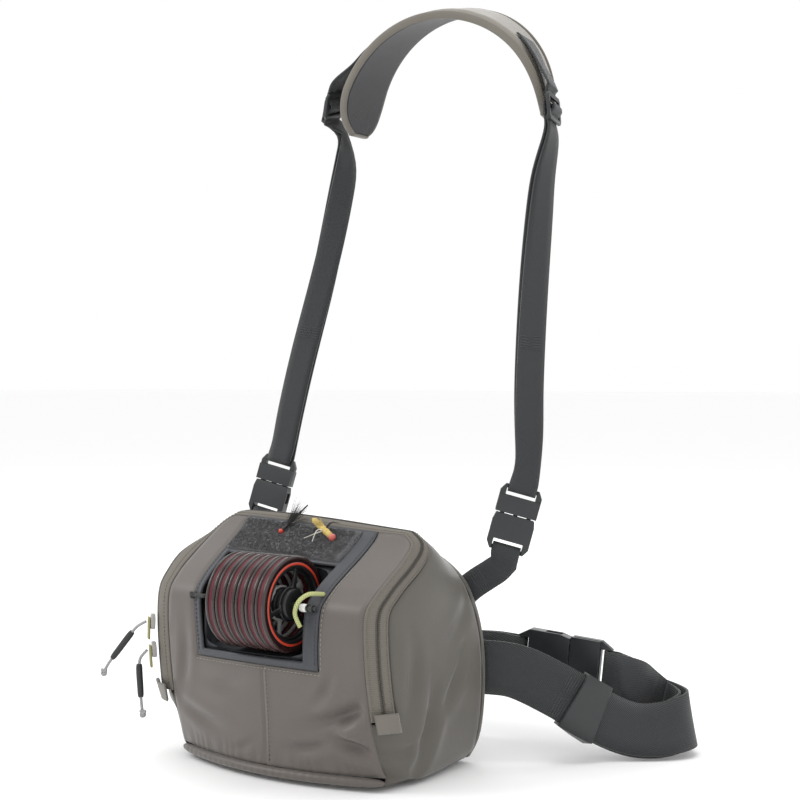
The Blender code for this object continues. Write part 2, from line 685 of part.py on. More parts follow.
class Buckle:
    """A side-release buckle about its middle: X across, Y through, Z towards the male side."""

    def __init__(self, webbing, width, length, thickness, bar):
        self.webbing, self.width, self.length, self.thickness, self.bar = webbing, width, length, thickness, bar
        self.slot_half = webbing / 2 + CLEAR + 0.0004
        self.bar_place = length / 2 - bar / 2
        self.slot = SLOT

    def slot_box(self, sign):
        inner = self.length / 2 - self.bar - self.slot
        outer = self.length / 2 - self.bar
        low, high = sorted((sign * inner, sign * outer))
        reach = self.thickness
        return block("slot", (-self.slot_half, -reach, low), (self.slot_half, reach, high))

    def bar_cuts(self, sign):
        """What is cut away over and under the bar, so that webbing can turn round it."""
        end = sorted((sign * (self.length / 2 - self.bar), sign * self.length))
        cuts = []
        for face in (-1, 1):
            deep = sorted((face * self.bar / 2, face * self.thickness))
            cuts.append(block("bar_cut", (-self.slot_half, deep[0], end[0]), (self.slot_half, deep[1], end[1])))
        return cuts

    def build(self, pack, name, place):
        half, deep = self.width / 2, self.thickness / 2
        seam = self.length * 0.06
        pocket_half = half * 0.78
        pocket_deep = deep * 0.56
        floor = -self.length * 0.30
        female = pack.add(f"{name}_female", prism(f"{name}_female", self.frame_outline_female(seam), -deep, deep), PLASTIC, place)
        window = self.length * 0.05, self.length * 0.22
        cutters = [
            self.slot_box(-1),
            *self.bar_cuts(-1),
            block("pocket", (-pocket_half, -pocket_deep, floor), (pocket_half, pocket_deep, seam + deep)),
            block("windows", (-half * 1.2, -pocket_deep, -window[1]), (half * 1.2, pocket_deep, -window[0])),
        ]
        pack.cut(female, [(mesh, place) for mesh in cutters])

        male = pack.add(f"{name}_male", prism(f"{name}_male", self.male_outline(seam, pocket_half, floor), -pocket_deep + CLEAR, pocket_deep - CLEAR), PLASTIC, place)
        self.grip(pack, male, seam, place)
        pack.cut(male, [(mesh, place) for mesh in (self.slot_box(1), *self.bar_cuts(1))])

    def frame_outline_female(self, seam):
        half, end = self.width / 2, self.length / 2
        corner = self.width * 0.1
        return [(-half * 0.92, seam - CLEAR), (-half, -seam), (-half, -end + corner * 1.6), (-half + corner, -end), (half - corner, -end), (half, -end + corner * 1.6), (half, -seam), (half * 0.92, seam - CLEAR)]

    def male_outline(self, seam, pocket_half, floor):
        """The webbing end with two sprung arms and a middle guide that reach into the female half."""
        half, end = self.width / 2, self.length / 2
        corner = self.width * 0.1
        arm = self.width * 0.10
        inside = pocket_half - CLEAR * 1.5
        hook = half * 0.90
        guide = self.width * 0.05
        low = seam + CLEAR
        right = [
            (guide, low),
            (guide, floor * 0.75),
        ]
        arm_out = [
            (inside - arm, low),
            (inside - arm, -self.length * 0.235),
            (inside, -self.length * 0.245),
            (inside, -self.length * 0.215),
            (hook, -self.length * 0.205),
            (hook, -self.length * 0.075),
            (inside, -self.length * 0.055),
            (inside, low),
            (half * 0.92, low),
            (half, low + corner * 0.4),
            (half, end - corner * 1.6),
            (half - corner, end),
        ]
        side = [right[1], right[0], *arm_out]
        mirrored = [(-x, z) for x, z in reversed(side)]
        return side + mirrored

    def grip(self, pack, male, seam, place):
        """A thicker body across the male half, joined to it."""
        half, deep = self.width / 2, self.thickness / 2
        top = self.length / 2 - self.bar - self.slot - 0.0006
        body = block(f"{male.name}_grip", (-half * 0.985, -deep * 0.96, seam + CLEAR), (half * 0.985, deep * 0.96, top))
        joined = bpy.data.objects.new(f"{male.name}_grip_cutter", body)
        bpy.context.collection.objects.link(joined)
        joined.parent = pack.root
        joined.matrix_local = place
        joined.hide_render = True
        joined.display_type = "WIRE"
        union = male.modifiers.new("grip", "BOOLEAN")
        union.operation = "UNION"
        union.object = joined
        union.solver = "EXACT"


SHOULDER_BUCKLE = Buckle(STRAP, 0.030, 0.047, 0.0085, 0.0030)
WAIST_BUCKLE = Buckle(BELT, 0.052, 0.072, 0.0105, 0.0036)


class Pad:
    """The arched shoulder pad: its middle line and the directions across and out of it."""

    def __init__(self, bag):
        self.base = np.array([PAD_SHIFT, bag.back_face + LOOP_LEAN, ANCHOR_HEIGHT + LOOP_HEIGHT])
        turn = math.radians(PAD_TURN)
        self.ahead = np.array([math.cos(turn), math.sin(turn), 0.0])

    def at(self, share):
        """Middle of the inner face, direction along, across and outward, for shares from 0 to 1."""
        share = np.atleast_1d(share)
        angle = math.pi * (1 - share)
        up = np.array([0.0, 0.0, 1.0])
        centre = self.base + self.ahead * (PAD_SPAN / 2) * np.cos(angle)[:, None] + up * PAD_RISE * np.sin(angle)[:, None]
        along = unit(self.ahead * (PAD_SPAN / 2) * np.sin(angle)[:, None] - up * PAD_RISE * np.cos(angle)[:, None])
        turn = np.radians(PAD_TURN + PAD_TWIST * smoothstep((share - 0.4) / 0.6))
        tilt = math.radians(PAD_TILT)
        wish = np.column_stack([-np.sin(turn) * math.cos(tilt), np.cos(turn) * math.cos(tilt), np.full(len(turn), math.sin(tilt))])
        across = unit(wish - along * np.sum(along * wish, axis=1, keepdims=True))
        return centre, along, across, np.cross(along, across)

    def width(self, share):
        """Width along the pad: full over the shoulder, with rounded ends."""
        end = np.clip((np.abs(2 * np.atleast_1d(share) - 1) - 0.74) / 0.275, 0, 1)
        return PAD_WIDTH * np.sqrt(1 - end**2)

    def apex(self):
        centre, _, _, out = self.at(0.5)
        return centre[0]


def build_pad(pack, pad):
    share = np.linspace(0.0, 1.0, 19)
    centre, along, across, out = pad.at(share)
    width = pad.width(share)

    def layer(name, profile, low_offset, look):
        """A pad layer with a domed outer face: profile holds (across share, height)."""
        rows = []
        for lateral, height in profile:
            rows.append(centre + across * (width * lateral / 2)[:, None] + out * (low_offset + height))
        grid = np.stack(rows, 1)
        count = grid.shape[1]
        verts = grid.reshape(-1, 3)
        faces = [list(range(count)), [len(verts) - count + k for k in range(count)]]
        for i in range(len(share) - 1):
            for k in range(count):
                # Triangles whose diagonals run the same way on both layers, because the pad twists
                low, high = sorted((k, (k + 1) % count), key=lambda index: profile[index][0])
                here, there = i * count, (i + 1) * count
                faces.append([here + low, here + high, there + high])
                faces.append([here + low, there + high, there + low])
        pack.add(name, outward(mesh_from(name, verts, faces)), look)

    low = SEAM_GAP + MESH_THICK
    dome = PAD_THICK - MESH_THICK
    layer("pad_mesh", [(-1, 0), (1, 0), (1, MESH_THICK), (-1, MESH_THICK)], 0.0, MESH)
    cover = [(-1, 0), (1, 0), (1, dome * 0.45), (0.72, dome * 0.62), (0.6, dome), (-0.6, dome), (-0.72, dome * 0.62), (-1, dome * 0.45)]
    layer("shoulder_pad", cover, low, PAD_CLOTH)
    edge = []
    for sign, order in ((1, slice(None)), (-1, slice(None, None, -1))):
        line = centre + across * (sign * (width / 2 + SEAM_GAP + BINDING / 2))[:, None] + out * (BINDING_HEIGHT / 2)
        line = line[order]
        edge.append(line)
    normals = [across, -across[::-1]]
    facing = np.vstack(normals)
    centres = np.vstack(edge)
    tall = np.vstack([out, out[::-1]])
    for index, sign in ((0, -1), (len(share) - 1, 1), (len(share), 1), (2 * len(share) - 1, -1)):
        source = along[0] if sign < 0 else along[-1]
        centres[index] += source * sign * (SEAM_GAP + BINDING / 2)
        facing[index] = unit(facing[index] + source * sign)
    pack.add("pad_binding", ribbon("pad_binding", centres, tall, facing, BINDING_HEIGHT, BINDING, closed=True), PAD_CLOTH)


# Strap routes: shares of half the back width, of LOOP_LEAN and of LOOP_HEIGHT, and the width
# direction's turn in degrees from the X axis towards the back
STRAP_ROUTES = {
    "right": (
        # across, back, up, turn
        (1.060, 0.840, 0.900, 84.0),
        (1.050, 0.760, 0.780, 66.0),
        (1.100, 0.541, 0.580, 52.0),
        (1.175, 0.320, 0.367, 44.0),
    ),
    "left": (
        (-0.830, 0.960, 0.985, 78.0),
        (-0.840, 0.820, 0.830, 56.0),
        (-0.870, 0.640, 0.660, 38.0),
        (-0.950, 0.420, 0.450, 24.0),
        (-0.980, 0.230, 0.280, 18.0),
    ),
}
# Buckle middles in the same shares, the lean of their axis in X and Y for a unit of Z, and the turn
BUCKLES = {
    "right": (1.132, 0.174, 0.117, 0.215, 0.180, 34.0),
    "left": (-1.060, 0.160, 0.160, 0.215, 0.170, 14.0),
}


def share_point(bag, across, back, up):
    return np.array([across * BACK_WIDTH / 2, bag.back_face + back * LOOP_LEAN, ANCHOR_HEIGHT + up * LOOP_HEIGHT])


def turned_width(degrees):
    return np.array([math.cos(math.radians(degrees)), math.sin(math.radians(degrees)), 0.0])


# Shares along the pad where each strap starts and leaves it, and where its glide is, in the same
# shares and turn as the strap's route
PAD_PLACES = {"left": (0.30, 0.19), "right": (0.78, 0.87)}
STRAP_FORWARD = 0.28  # of the pad's width, in front of its middle where the strap leaves it
GLIDES = {"left": (-0.842, 0.790, 1.068, 92.0), "right": (1.129, 0.838, 1.000, 103.0)}


def build_harness(pack, bag, pad):
    for side, end_share in (("left", 0.0), ("right", 1.0)):
        across, back, up, lean_x, lean_y, turn = BUCKLES[side]
        centre = share_point(bag, across, back, up)
        axis = unit(np.array([lean_x, lean_y, 1.0]))
        buckle = SHOULDER_BUCKLE
        top, bottom = centre + axis * buckle.bar_place, centre - axis * buckle.bar_place
        sign = -1 if side == "left" else 1

        # The upper webbing lies on the pad's end, passes the glide and hangs to the male half
        shares = np.linspace(*PAD_PLACES[side], 5)
        inner, _, pad_across, pad_out = pad.at(shares)
        lying = PAD_THICK + SEAM_GAP * np.linspace(2.5, 6.0, 5)[:, None] + STRAP_THICK / 2
        forward = PAD_WIDTH * STRAP_FORWARD * np.linspace(0.35, 1.0, 5)[:, None]
        points = list(inner + pad_out * lying - pad_across * forward)
        widths = list(pad_across)
        *glide_place, glide_turn = GLIDES[side]
        glide_point = share_point(bag, *glide_place)
        down = unit(share_point(bag, *STRAP_ROUTES[side][0][:3]) - points[-1])
        for step in (-0.85, -0.6, -0.3, 0.0, 0.4, 0.8):
            points.append(glide_point + down * GLIDE_LENGTH * step)
            widths.append(turned_width(glide_turn))
        for a, b, u, t in STRAP_ROUTES[side]:
            points.append(share_point(bag, a, b, u))
            widths.append(turned_width(t))
        points += [top + axis * STRAP, top + axis * STRAP * 0.5, top]
        widths += [turned_width(turn)] * 3
        widths = [w if np.dot(w, turned_width(turn)) > 0 else -w for w in widths]
        route = Route(np.array(points), np.array(widths), 7)
        if np.dot(route.at(route.length / 2)[3][0], [0, -1, 0]) < 0:
            route = Route(np.array(points), -np.array(widths), 7)
        glide = float(route.along[np.argmin(np.linalg.norm(route.centres - glide_point, axis=1))])
        build_strap(pack, route, glide, side)
        build_glide(pack, f"glide_{side}", route.matrix(glide))
        place = frame_matrix(centre, axis, -route.at(route.length)[2][0])
        buckle.build(pack, f"buckle_{side}", place)

        build_anchor(pack, bag, side, sign, bottom, axis, turned_width(turn))


def build_anchor(pack, bag, side, sign, bottom, axis, width):
    """The lower webbing, doubled round the female bar and sewn to the back panel."""
    buckle = SHOULDER_BUCKLE
    apart = STRAP_THICK / 2 + CLEAR / 2
    lying = bag.back_face + SEAM_GAP * 3 + STRAP_THICK / 2 + apart
    sewn = np.array([sign * ANCHOR_SPREAD, lying, ANCHOR_HEIGHT - ANCHOR_DROP])
    outward_up = unit(np.array([sign * 0.70, 0.0, 0.70]))
    flat_width = unit(np.array([0.70, 0.0, -0.70 * sign]))
    flat_width = flat_width if np.dot(flat_width, width) > 0 else -flat_width
    low = sewn - outward_up * ANCHOR_LAP
    points = [bottom + axis * 0.004, bottom, bottom - axis * 0.006, bottom - axis * 0.012]
    leaving = np.array([0.0, STRAP_THICK * 2, 0.0])
    points += [sewn + outward_up * ANCHOR_LAP * 0.6 + leaving, sewn, low]
    widths = [width] * 3 + [unit(width) * 2 + flat_width, width + flat_width * 5, flat_width, flat_width]
    route = Route(np.array(points), np.array(widths), 6)
    if np.dot(route.at(0.0)[3][0], [0, -1, 0]) < 0:
        route = Route(np.array(points), -np.array(widths), 6)
    around = math.hypot(buckle.bar / 2, buckle.bar / 2) + CLEAR + STRAP_THICK / 2
    bar = float(route.along[np.argmin(np.linalg.norm(route.centres - bottom, axis=1))])
    rest = np.linspace(bar + 0.010, route.length, 11)
    path = [(s, apart) for s in rest[::-1]] + [(bar + 0.004, around * 0.9)]
    path += [(bar - around * math.sin(a), around * math.cos(a)) for a in np.linspace(0.1, 0.9, 7) * math.pi]
    path += [(bar + 0.004, -around * 0.9)] + [(s, -apart) for s in rest]
    name = f"anchor_{side}"
    pack.add(name, route.layer(name, path, STRAP, STRAP_THICK), WEBBING)


def build_strap(pack, route, glide, side):
    """One webbing: from the pad through the glide, round the male bar and back to the glide."""
    under = GLIDE_THICK / 2 + CLEAR * 1.6 + STRAP_THICK / 2
    rail = GLIDE_LENGTH / 2 - GLIDE_RAIL / 2
    around = math.hypot(SHOULDER_BUCKLE.bar / 2, SHOULDER_BUCKLE.bar / 2) + CLEAR + STRAP_THICK / 2
    end = route.length
    weave = [
        # from the glide's middle, out of the route
        (-rail - 0.004, -under * 0.8),
        (-rail, -under),
        (-rail + GLIDE_RAIL / 2, -under * 0.97),
        (-GLIDE_RAIL * 0.6, under * 0.97),
        (0.0, under * 1.08),
        (GLIDE_RAIL * 0.6, under * 0.97),
        (rail - GLIDE_RAIL / 2, -under * 0.97),
        (rail, -under),
        (rail + 0.006, -under * 0.8),
    ]
    path = [(s, 0.0) for s in np.linspace(0.0, glide - rail - 0.008, 10)]
    path += [(glide + s, out) for s, out in smooth_curve(weave, 2)]
    front = np.linspace(glide + rail + 0.016, end - 0.012, 11)
    opened = 0.0022 * np.sin(np.linspace(0.1, 0.9, 11) * math.pi) + STRAP_THICK / 2 + CLEAR / 2
    path += [(s, out) for s, out in zip(front, opened)]
    path += [(end - 0.004, around * 0.9)]
    path += [(end + around * math.sin(a), around * math.cos(a)) for a in np.linspace(0.1, 0.9, 7) * math.pi]
    path += [(end - 0.004, -around * 0.9)]
    path += [(s, -out) for s, out in zip(front[::-1], opened[::-1])]
    behind = under + STRAP_THICK + CLEAR * 1.5
    path += [(glide + rail + 0.005, -behind), (glide + rail - 0.002, -behind), (glide, -behind), (glide - rail * 0.5, -behind + 0.0004)]
    name = f"strap_{side}"
    pack.add(name, route.layer(name, path, STRAP, STRAP_THICK), WEBBING)


def build_glide(pack, name, place):
    half = STRAP / 2 + CLEAR * 2
    outer = half + GLIDE_RAIL
    end = GLIDE_LENGTH / 2
    corner = GLIDE_RAIL * 0.7
    outline = [(-outer, -end + corner), (-outer + corner, -end), (outer - corner, -end), (outer, -end + corner), (outer, end - corner), (outer - corner, end), (-outer + corner, end), (-outer, end - corner)]
    glide = pack.add(name, prism(name, outline, -GLIDE_THICK / 2, GLIDE_THICK / 2), PLASTIC, place)
    gap = (GLIDE_LENGTH - 3 * GLIDE_RAIL) / 2
    cutters = []
    for sign in (-1, 1):
        low, high = sorted((sign * GLIDE_RAIL / 2, sign * (GLIDE_RAIL / 2 + gap)))
        cutters.append((block("slot", (-half, -GLIDE_THICK, low), (half, GLIDE_THICK, high)), place))
    pack.cut(glide, cutters)


# The belt's route from the bag's right edge round to the buckle: shares of BELT_REACH, of BELT_DROP
# and of BAG_HEIGHT, with the width direction's lean away from upright, in X and Y
BELT_ROUTE = (
    # across, back, up, lean x, lean y
    (0.000, 0.000, 0.398, 0.0, 0.0),
    (0.165, 0.100, 0.383, 0.0, 0.0),
    (0.385, 0.275, 0.284, 0.1, 0.1),
    (0.500, 0.375, 0.216, 0.0, 0.15),
    (0.607, 0.500, 0.150, -0.05, 0.40),
    (0.735, 0.617, 0.106, -0.10, 0.55),
    (0.890, 0.717, 0.112, -0.25, 0.30),
    (0.985, 0.840, 0.135, -0.25, 0.0),
    (0.940, 0.970, 0.140, -0.10, -0.1),
    (0.790, 1.040, 0.150, 0.0, -0.1),
    (0.640, 0.980, 0.180, 0.0, 0.0),
)
BELT_START = 0.98  # of half the back width
WAIST_BUCKLE_PLACE = (0.139, 0.700, 0.321)
WAIST_BUCKLE_AXIS = (0.960, 0.200, -0.100)


def belt_point(bag, across, back, up):
    start = BELT_START * BACK_WIDTH / 2
    lying = bag.back_face + SEAM_GAP * 3 + BELT_THICK / 2
    return np.array([start + across * BELT_REACH, lying + back * BELT_DROP, up * BAG_HEIGHT])


def build_belt(pack, bag):
    buckle = WAIST_BUCKLE
    points = [belt_point(bag, *row[:3]) for row in BELT_ROUTE]
    leans = [np.array([row[3], row[4], 1.0]) for row in BELT_ROUTE]
    middle = belt_point(bag, *WAIST_BUCKLE_PLACE)
    axis = unit(np.array(WAIST_BUCKLE_AXIS))
    bar = middle + axis * buckle.bar_place
    upright = np.array([0.0, 0.0, 1.0])
    lap = points[0] - np.array([0.022, 0, 0])
    route_points = [lap, *points, bar + axis * BELT * 0.4, bar + axis * BELT * 0.2, bar]
    route = Route(np.array(route_points), np.array([leans[0], *leans, upright, upright, upright]), 5)
    around = math.hypot(buckle.bar / 2, buckle.bar / 2) + CLEAR + BELT_THICK / 2
    end = route.length
    inside = 1.0 if np.dot(route.at(end * 0.5)[3][0], [-1, 0, 0]) > 0 else -1.0
    path = [(s, 0.0) for s in np.linspace(0, end - 0.020, 26)] + [(end - 0.005, -inside * around * 0.9)]
    path += [(end + around * math.sin(a), -inside * around * math.cos(a)) for a in np.linspace(0.1, 0.9, 7) * math.pi]
    path += [(end - 0.005, inside * around * 0.9)]
    tail = np.linspace(end - 0.018, end * 0.30, 20)
    off = BELT_THICK + CLEAR + BELT_WIDEN * np.sin(np.linspace(0.15, 1.0, 20) * math.pi)
    path += [(s, inside * out) for s, out in zip(tail, off)]
    pack.add("belt_right", route.layer("belt_right", path, BELT, BELT_THICK), WEBBING)
    build_keeper(pack, route, end * 0.355, inside)

    buckle.build(pack, "waist_buckle", frame_matrix(middle, axis, upright))
    far = middle - axis * buckle.bar_place
    start = np.array([-BELT_START * BACK_WIDTH / 2, bag.back_face + SEAM_GAP + BELT_THICK / 2, points[0][2]])
    left_points = [
        far,
        far - axis * BELT * 0.25,
        far - axis * BELT * 0.5,
        (far + start) / 2 + np.array([0.0, BELT_DROP * 0.24, -BAG_HEIGHT * 0.03]),
        start + np.array([-0.022, 0.030, 0.0]),
        start + np.array([-0.010, 0.004, 0.0]),
        start + np.array([0.026, 0, 0]),
    ]
    left = Route(np.array(left_points), np.array([upright] * len(left_points)), 6)
    path = [(s, 0.0) for s in np.linspace(left.length, 0.016, 16)] + [(0.005, around * 0.9)]
    path += [(-around * math.sin(a), around * math.cos(a)) for a in np.linspace(0.1, 0.9, 7) * math.pi]
    path += [(0.005, -around * 0.9)] + [(s, -BELT_THICK - CLEAR) for s in np.linspace(0.016, 0.055, 5)]
    pack.add("belt_left", left.layer("belt_left", path, BELT, BELT_THICK), WEBBING)


def sleeve(name, route, start, end, half, low, high, thickness, steps=4):
    """A flat tube along a route: its hollow spans half each way across and low to high out of it."""
    centre, _, side, facing = route.at(np.linspace(start, end, steps + 1))
    sections = []
    for grow in (thickness, 0.0):
        for across, out in ((-1, low - grow), (1, low - grow), (1, high + grow), (-1, high + grow)):
            sections.append(centre + side * across * (half + grow) + facing * out)
    verts = np.stack(sections, 1).reshape(-1, 3)
    faces = []
    for i in range(steps):
        for first in (0, 4):
            for k in range(4):
                here, there = 8 * i + first, 8 * (i + 1) + first
                faces.append([here + k, here + (k + 1) % 4, there + (k + 1) % 4, there + k])
    for row in (0, 8 * steps):
        faces += [[row + k, row + (k + 1) % 4, row + 4 + (k + 1) % 4, row + 4 + k] for k in range(4)]
    return outward(mesh_from(name, verts, faces))


def build_keeper(pack, route, place, inside):
    """A webbing sleeve that holds the belt's tail to the belt."""
    half = BELT / 2 + CLEAR * 2
    behind = BELT_THICK / 2 + CLEAR * 4
    over = BELT_THICK * 2 + BELT_WIDEN + CLEAR * 2
    low, high = sorted((inside * over, -inside * behind))
    mesh = sleeve("belt_keeper", route, place - KEEPER / 2, place + KEEPER / 2, half, low, high, STRAP_THICK)
    pack.add("belt_keeper", mesh, WEBBING)


def web_cutter():
    """The openings of a spool's web: sectors between the hub and the ring, as one cutter mesh."""
    inner, outer = HUB_RADIUS + WINDOW_EDGE, WEB_RADIUS - WINDOW_EDGE
    build = bmesh.new()
    for index in range(WEB_WINDOWS):
        middle = 2 * math.pi * (index + 0.5) / WEB_WINDOWS
        half = math.pi / WEB_WINDOWS * 0.72
        sweep = np.linspace(middle - half, middle + half, 4)
        outline = [(radius * math.cos(a), radius * math.sin(a)) for radius, order in ((outer, sweep), (inner, sweep[::-1])) for a in order]
        build.from_mesh(extruded_x("sector", outline, -WEB_THICK * 2, WEB_THICK * 2))
    mesh = bpy.data.meshes.new("web_windows")
    build.to_mesh(mesh)
    build.free()
    return mesh


def build_spools(pack, bag):
    y = axle_y(bag)
    left, right = well_sides()
    middle = right - SPOOL_SIDE_GAP - SPOOL_COUNT * SPOOL_PITCH / 2
    half = (SPOOL_PITCH - SPOOL_GAP) / 2
    first = middle - (SPOOL_COUNT - 1) / 2 * SPOOL_PITCH
    last = first + (SPOOL_COUNT - 1) * SPOOL_PITCH
    side = [
        (half - HUB_BOSS, SPOOL_BORE),
        (half - HUB_BOSS, HUB_RADIUS),
        (WEB_THICK / 2, HUB_RADIUS),
        (WEB_THICK / 2, WEB_RADIUS),
        (half, RING_RADIUS - (RING_RADIUS - WEB_RADIUS) * 0.9),
        (half, SPOOL_RADIUS - BAND_DEPTH),
        (half * 0.5, SPOOL_RADIUS),
    ]
    profile = side + [(-x, radius) for x, radius in reversed(side)]
    for index in range(SPOOL_COUNT):
        name = f"spool_{index + 1}"
        place = Matrix.Translation((first + index * SPOOL_PITCH, y, AXLE_HEIGHT))
        spool = pack.add(name, turned(name, profile, 12), SPOOL, place)
        pack.cut(spool, [(web_cutter(), place)])

    build_spool_cord(pack, bag, (left, right), (first - half, last + half), y)


def build_spool_cord(pack, bag, well, row, axle):
    """The cord that the spools turn on: it lies over the frame on both sides, with its stops."""

    def over(x, radius):
        """y of a round thing of this radius that lies on the front at x."""
        grid = bag.front(np.array([[x, x + SEAM_GAP]]), [bag.at_height(AXLE_HEIGHT)])
        return grid[0, 0, 1] - radius - SEAM_GAP

    left, right = well
    start, end = -WINDOW_LEFT - STOP_RADIUS * 1.3, right + STOP_LENGTH * 2.6
    stop_x = right + SEAM_GAP
    stop_y = over(stop_x, STOP_RADIUS)
    dip = CORD_RADIUS * 2.5
    route = [
        # from the knot at the left over the frame, along the axle and out over the frame at the right
        (start, over(start, CORD_RADIUS), AXLE_HEIGHT),
        (left - LEFT_BAND * 0.4, over(left - LEFT_BAND * 0.4, CORD_RADIUS), AXLE_HEIGHT),
        (left, over(left, CORD_RADIUS), AXLE_HEIGHT),
        (left + dip, over(left, CORD_RADIUS) * 0.6 + axle * 0.4, AXLE_HEIGHT),
        (row[0] - dip, axle, AXLE_HEIGHT),
        (row[0], axle, AXLE_HEIGHT),
        (row[1], axle, AXLE_HEIGHT),
        (row[1] + dip, axle, AXLE_HEIGHT),
        (stop_x - dip, stop_y * 0.7 + axle * 0.3, AXLE_HEIGHT),
        (stop_x, stop_y, AXLE_HEIGHT),
        (stop_x + STOP_LENGTH, stop_y, AXLE_HEIGHT),
        (stop_x + STOP_LENGTH * 2.2, stop_y, AXLE_HEIGHT),
        (end, stop_y, AXLE_HEIGHT),
    ]
    cord_curve(pack, "spool_cord", smooth_curve(route, 2), CORD_RADIUS, LIME)
    bore = CORD_RADIUS + SEAM_GAP
    ring = [(0, bore), (STOP_LENGTH, bore), (STOP_LENGTH, STOP_RADIUS * 0.8)]
    ring += [(STOP_LENGTH / 2, STOP_RADIUS), (0, STOP_RADIUS * 0.8)]
    for name, step, look in (("cord_bead", 0.06, WHITE), ("cord_toggle", 1.2, PLASTIC)):
        place = Matrix.Translation((stop_x + STOP_LENGTH * step, stop_y, AXLE_HEIGHT))
        pack.add(name, turned(name, ring, 10), look, place)
    build_loop(pack, bag, stop_y)


def build_loop(pack, bag, face_y):
    """A short loop of thicker cord, sewn in at the frame's right edge over the spool cord's stops."""
    height = AXLE_HEIGHT + 0.0085
    seat = bag.front(np.array([[WINDOW_RIGHT, WINDOW_RIGHT + SEAM_GAP]]), [bag.at_height(height)])[0, 0]
    over = LOOP_CORD_RADIUS + SEAM_GAP * 2
    route = [
        # from its seat on the frame forward over the stops and round to its lower end
        (seat[0], seat[1] - over, height),
        (seat[0] - 0.0040, face_y - 0.0010, height + 0.0010),
        (seat[0] - 0.0090, face_y - 0.0060, AXLE_HEIGHT + 0.0045),
        (seat[0] - 0.0110, face_y - 0.0070, AXLE_HEIGHT - 0.0035),
        (seat[0] - 0.0090, face_y - 0.0040, AXLE_HEIGHT - 0.0120),
    ]
    cord_curve(pack, "bar_loop", smooth_curve(route, 2), LOOP_CORD_RADIUS, LIME)


def cord_curve(pack, name, points, radius, look):
    """A round cord: a poly curve with a bevel and filled caps."""
    curve = bpy.data.curves.new(name, "CURVE")
    curve.dimensions = "3D"
    curve.bevel_depth = radius
    curve.bevel_resolution = 2
    curve.use_fill_caps = True
    spline = curve.splines.new("POLY")
    spline.points.add(len(points) - 1)
    for target, point in zip(spline.points, points):
        target.co = (*point, 1.0)
    curve.materials.append(pack.material(name, *look))
    item = bpy.data.objects.new(name, curve)
    bpy.context.collection.objects.link(item)
    item.parent = pack.root
    return item


# Zip pulls: a slider's height share of the bag, then its cord's points, in metres from the slider
# along the bag's left, front and down directions, and the sleeve's and the knot's places on the cord
PULLS = (
    {
        "height": 0.575,
        "cord": ((0.006, 0.003, 0.004), (0.012, 0.005, 0.011), (0.020, 0.007, 0.021), (0.028, 0.009, 0.031), (0.031, 0.010, 0.036)),
    },
    {
        "height": 0.450,
        "cord": ((0.004, 0.003, 0.006), (0.004, 0.004, 0.014), (0.001, 0.006, 0.025), (-0.002, 0.008, 0.036), (-0.004, 0.009, 0.041)),
    },
)


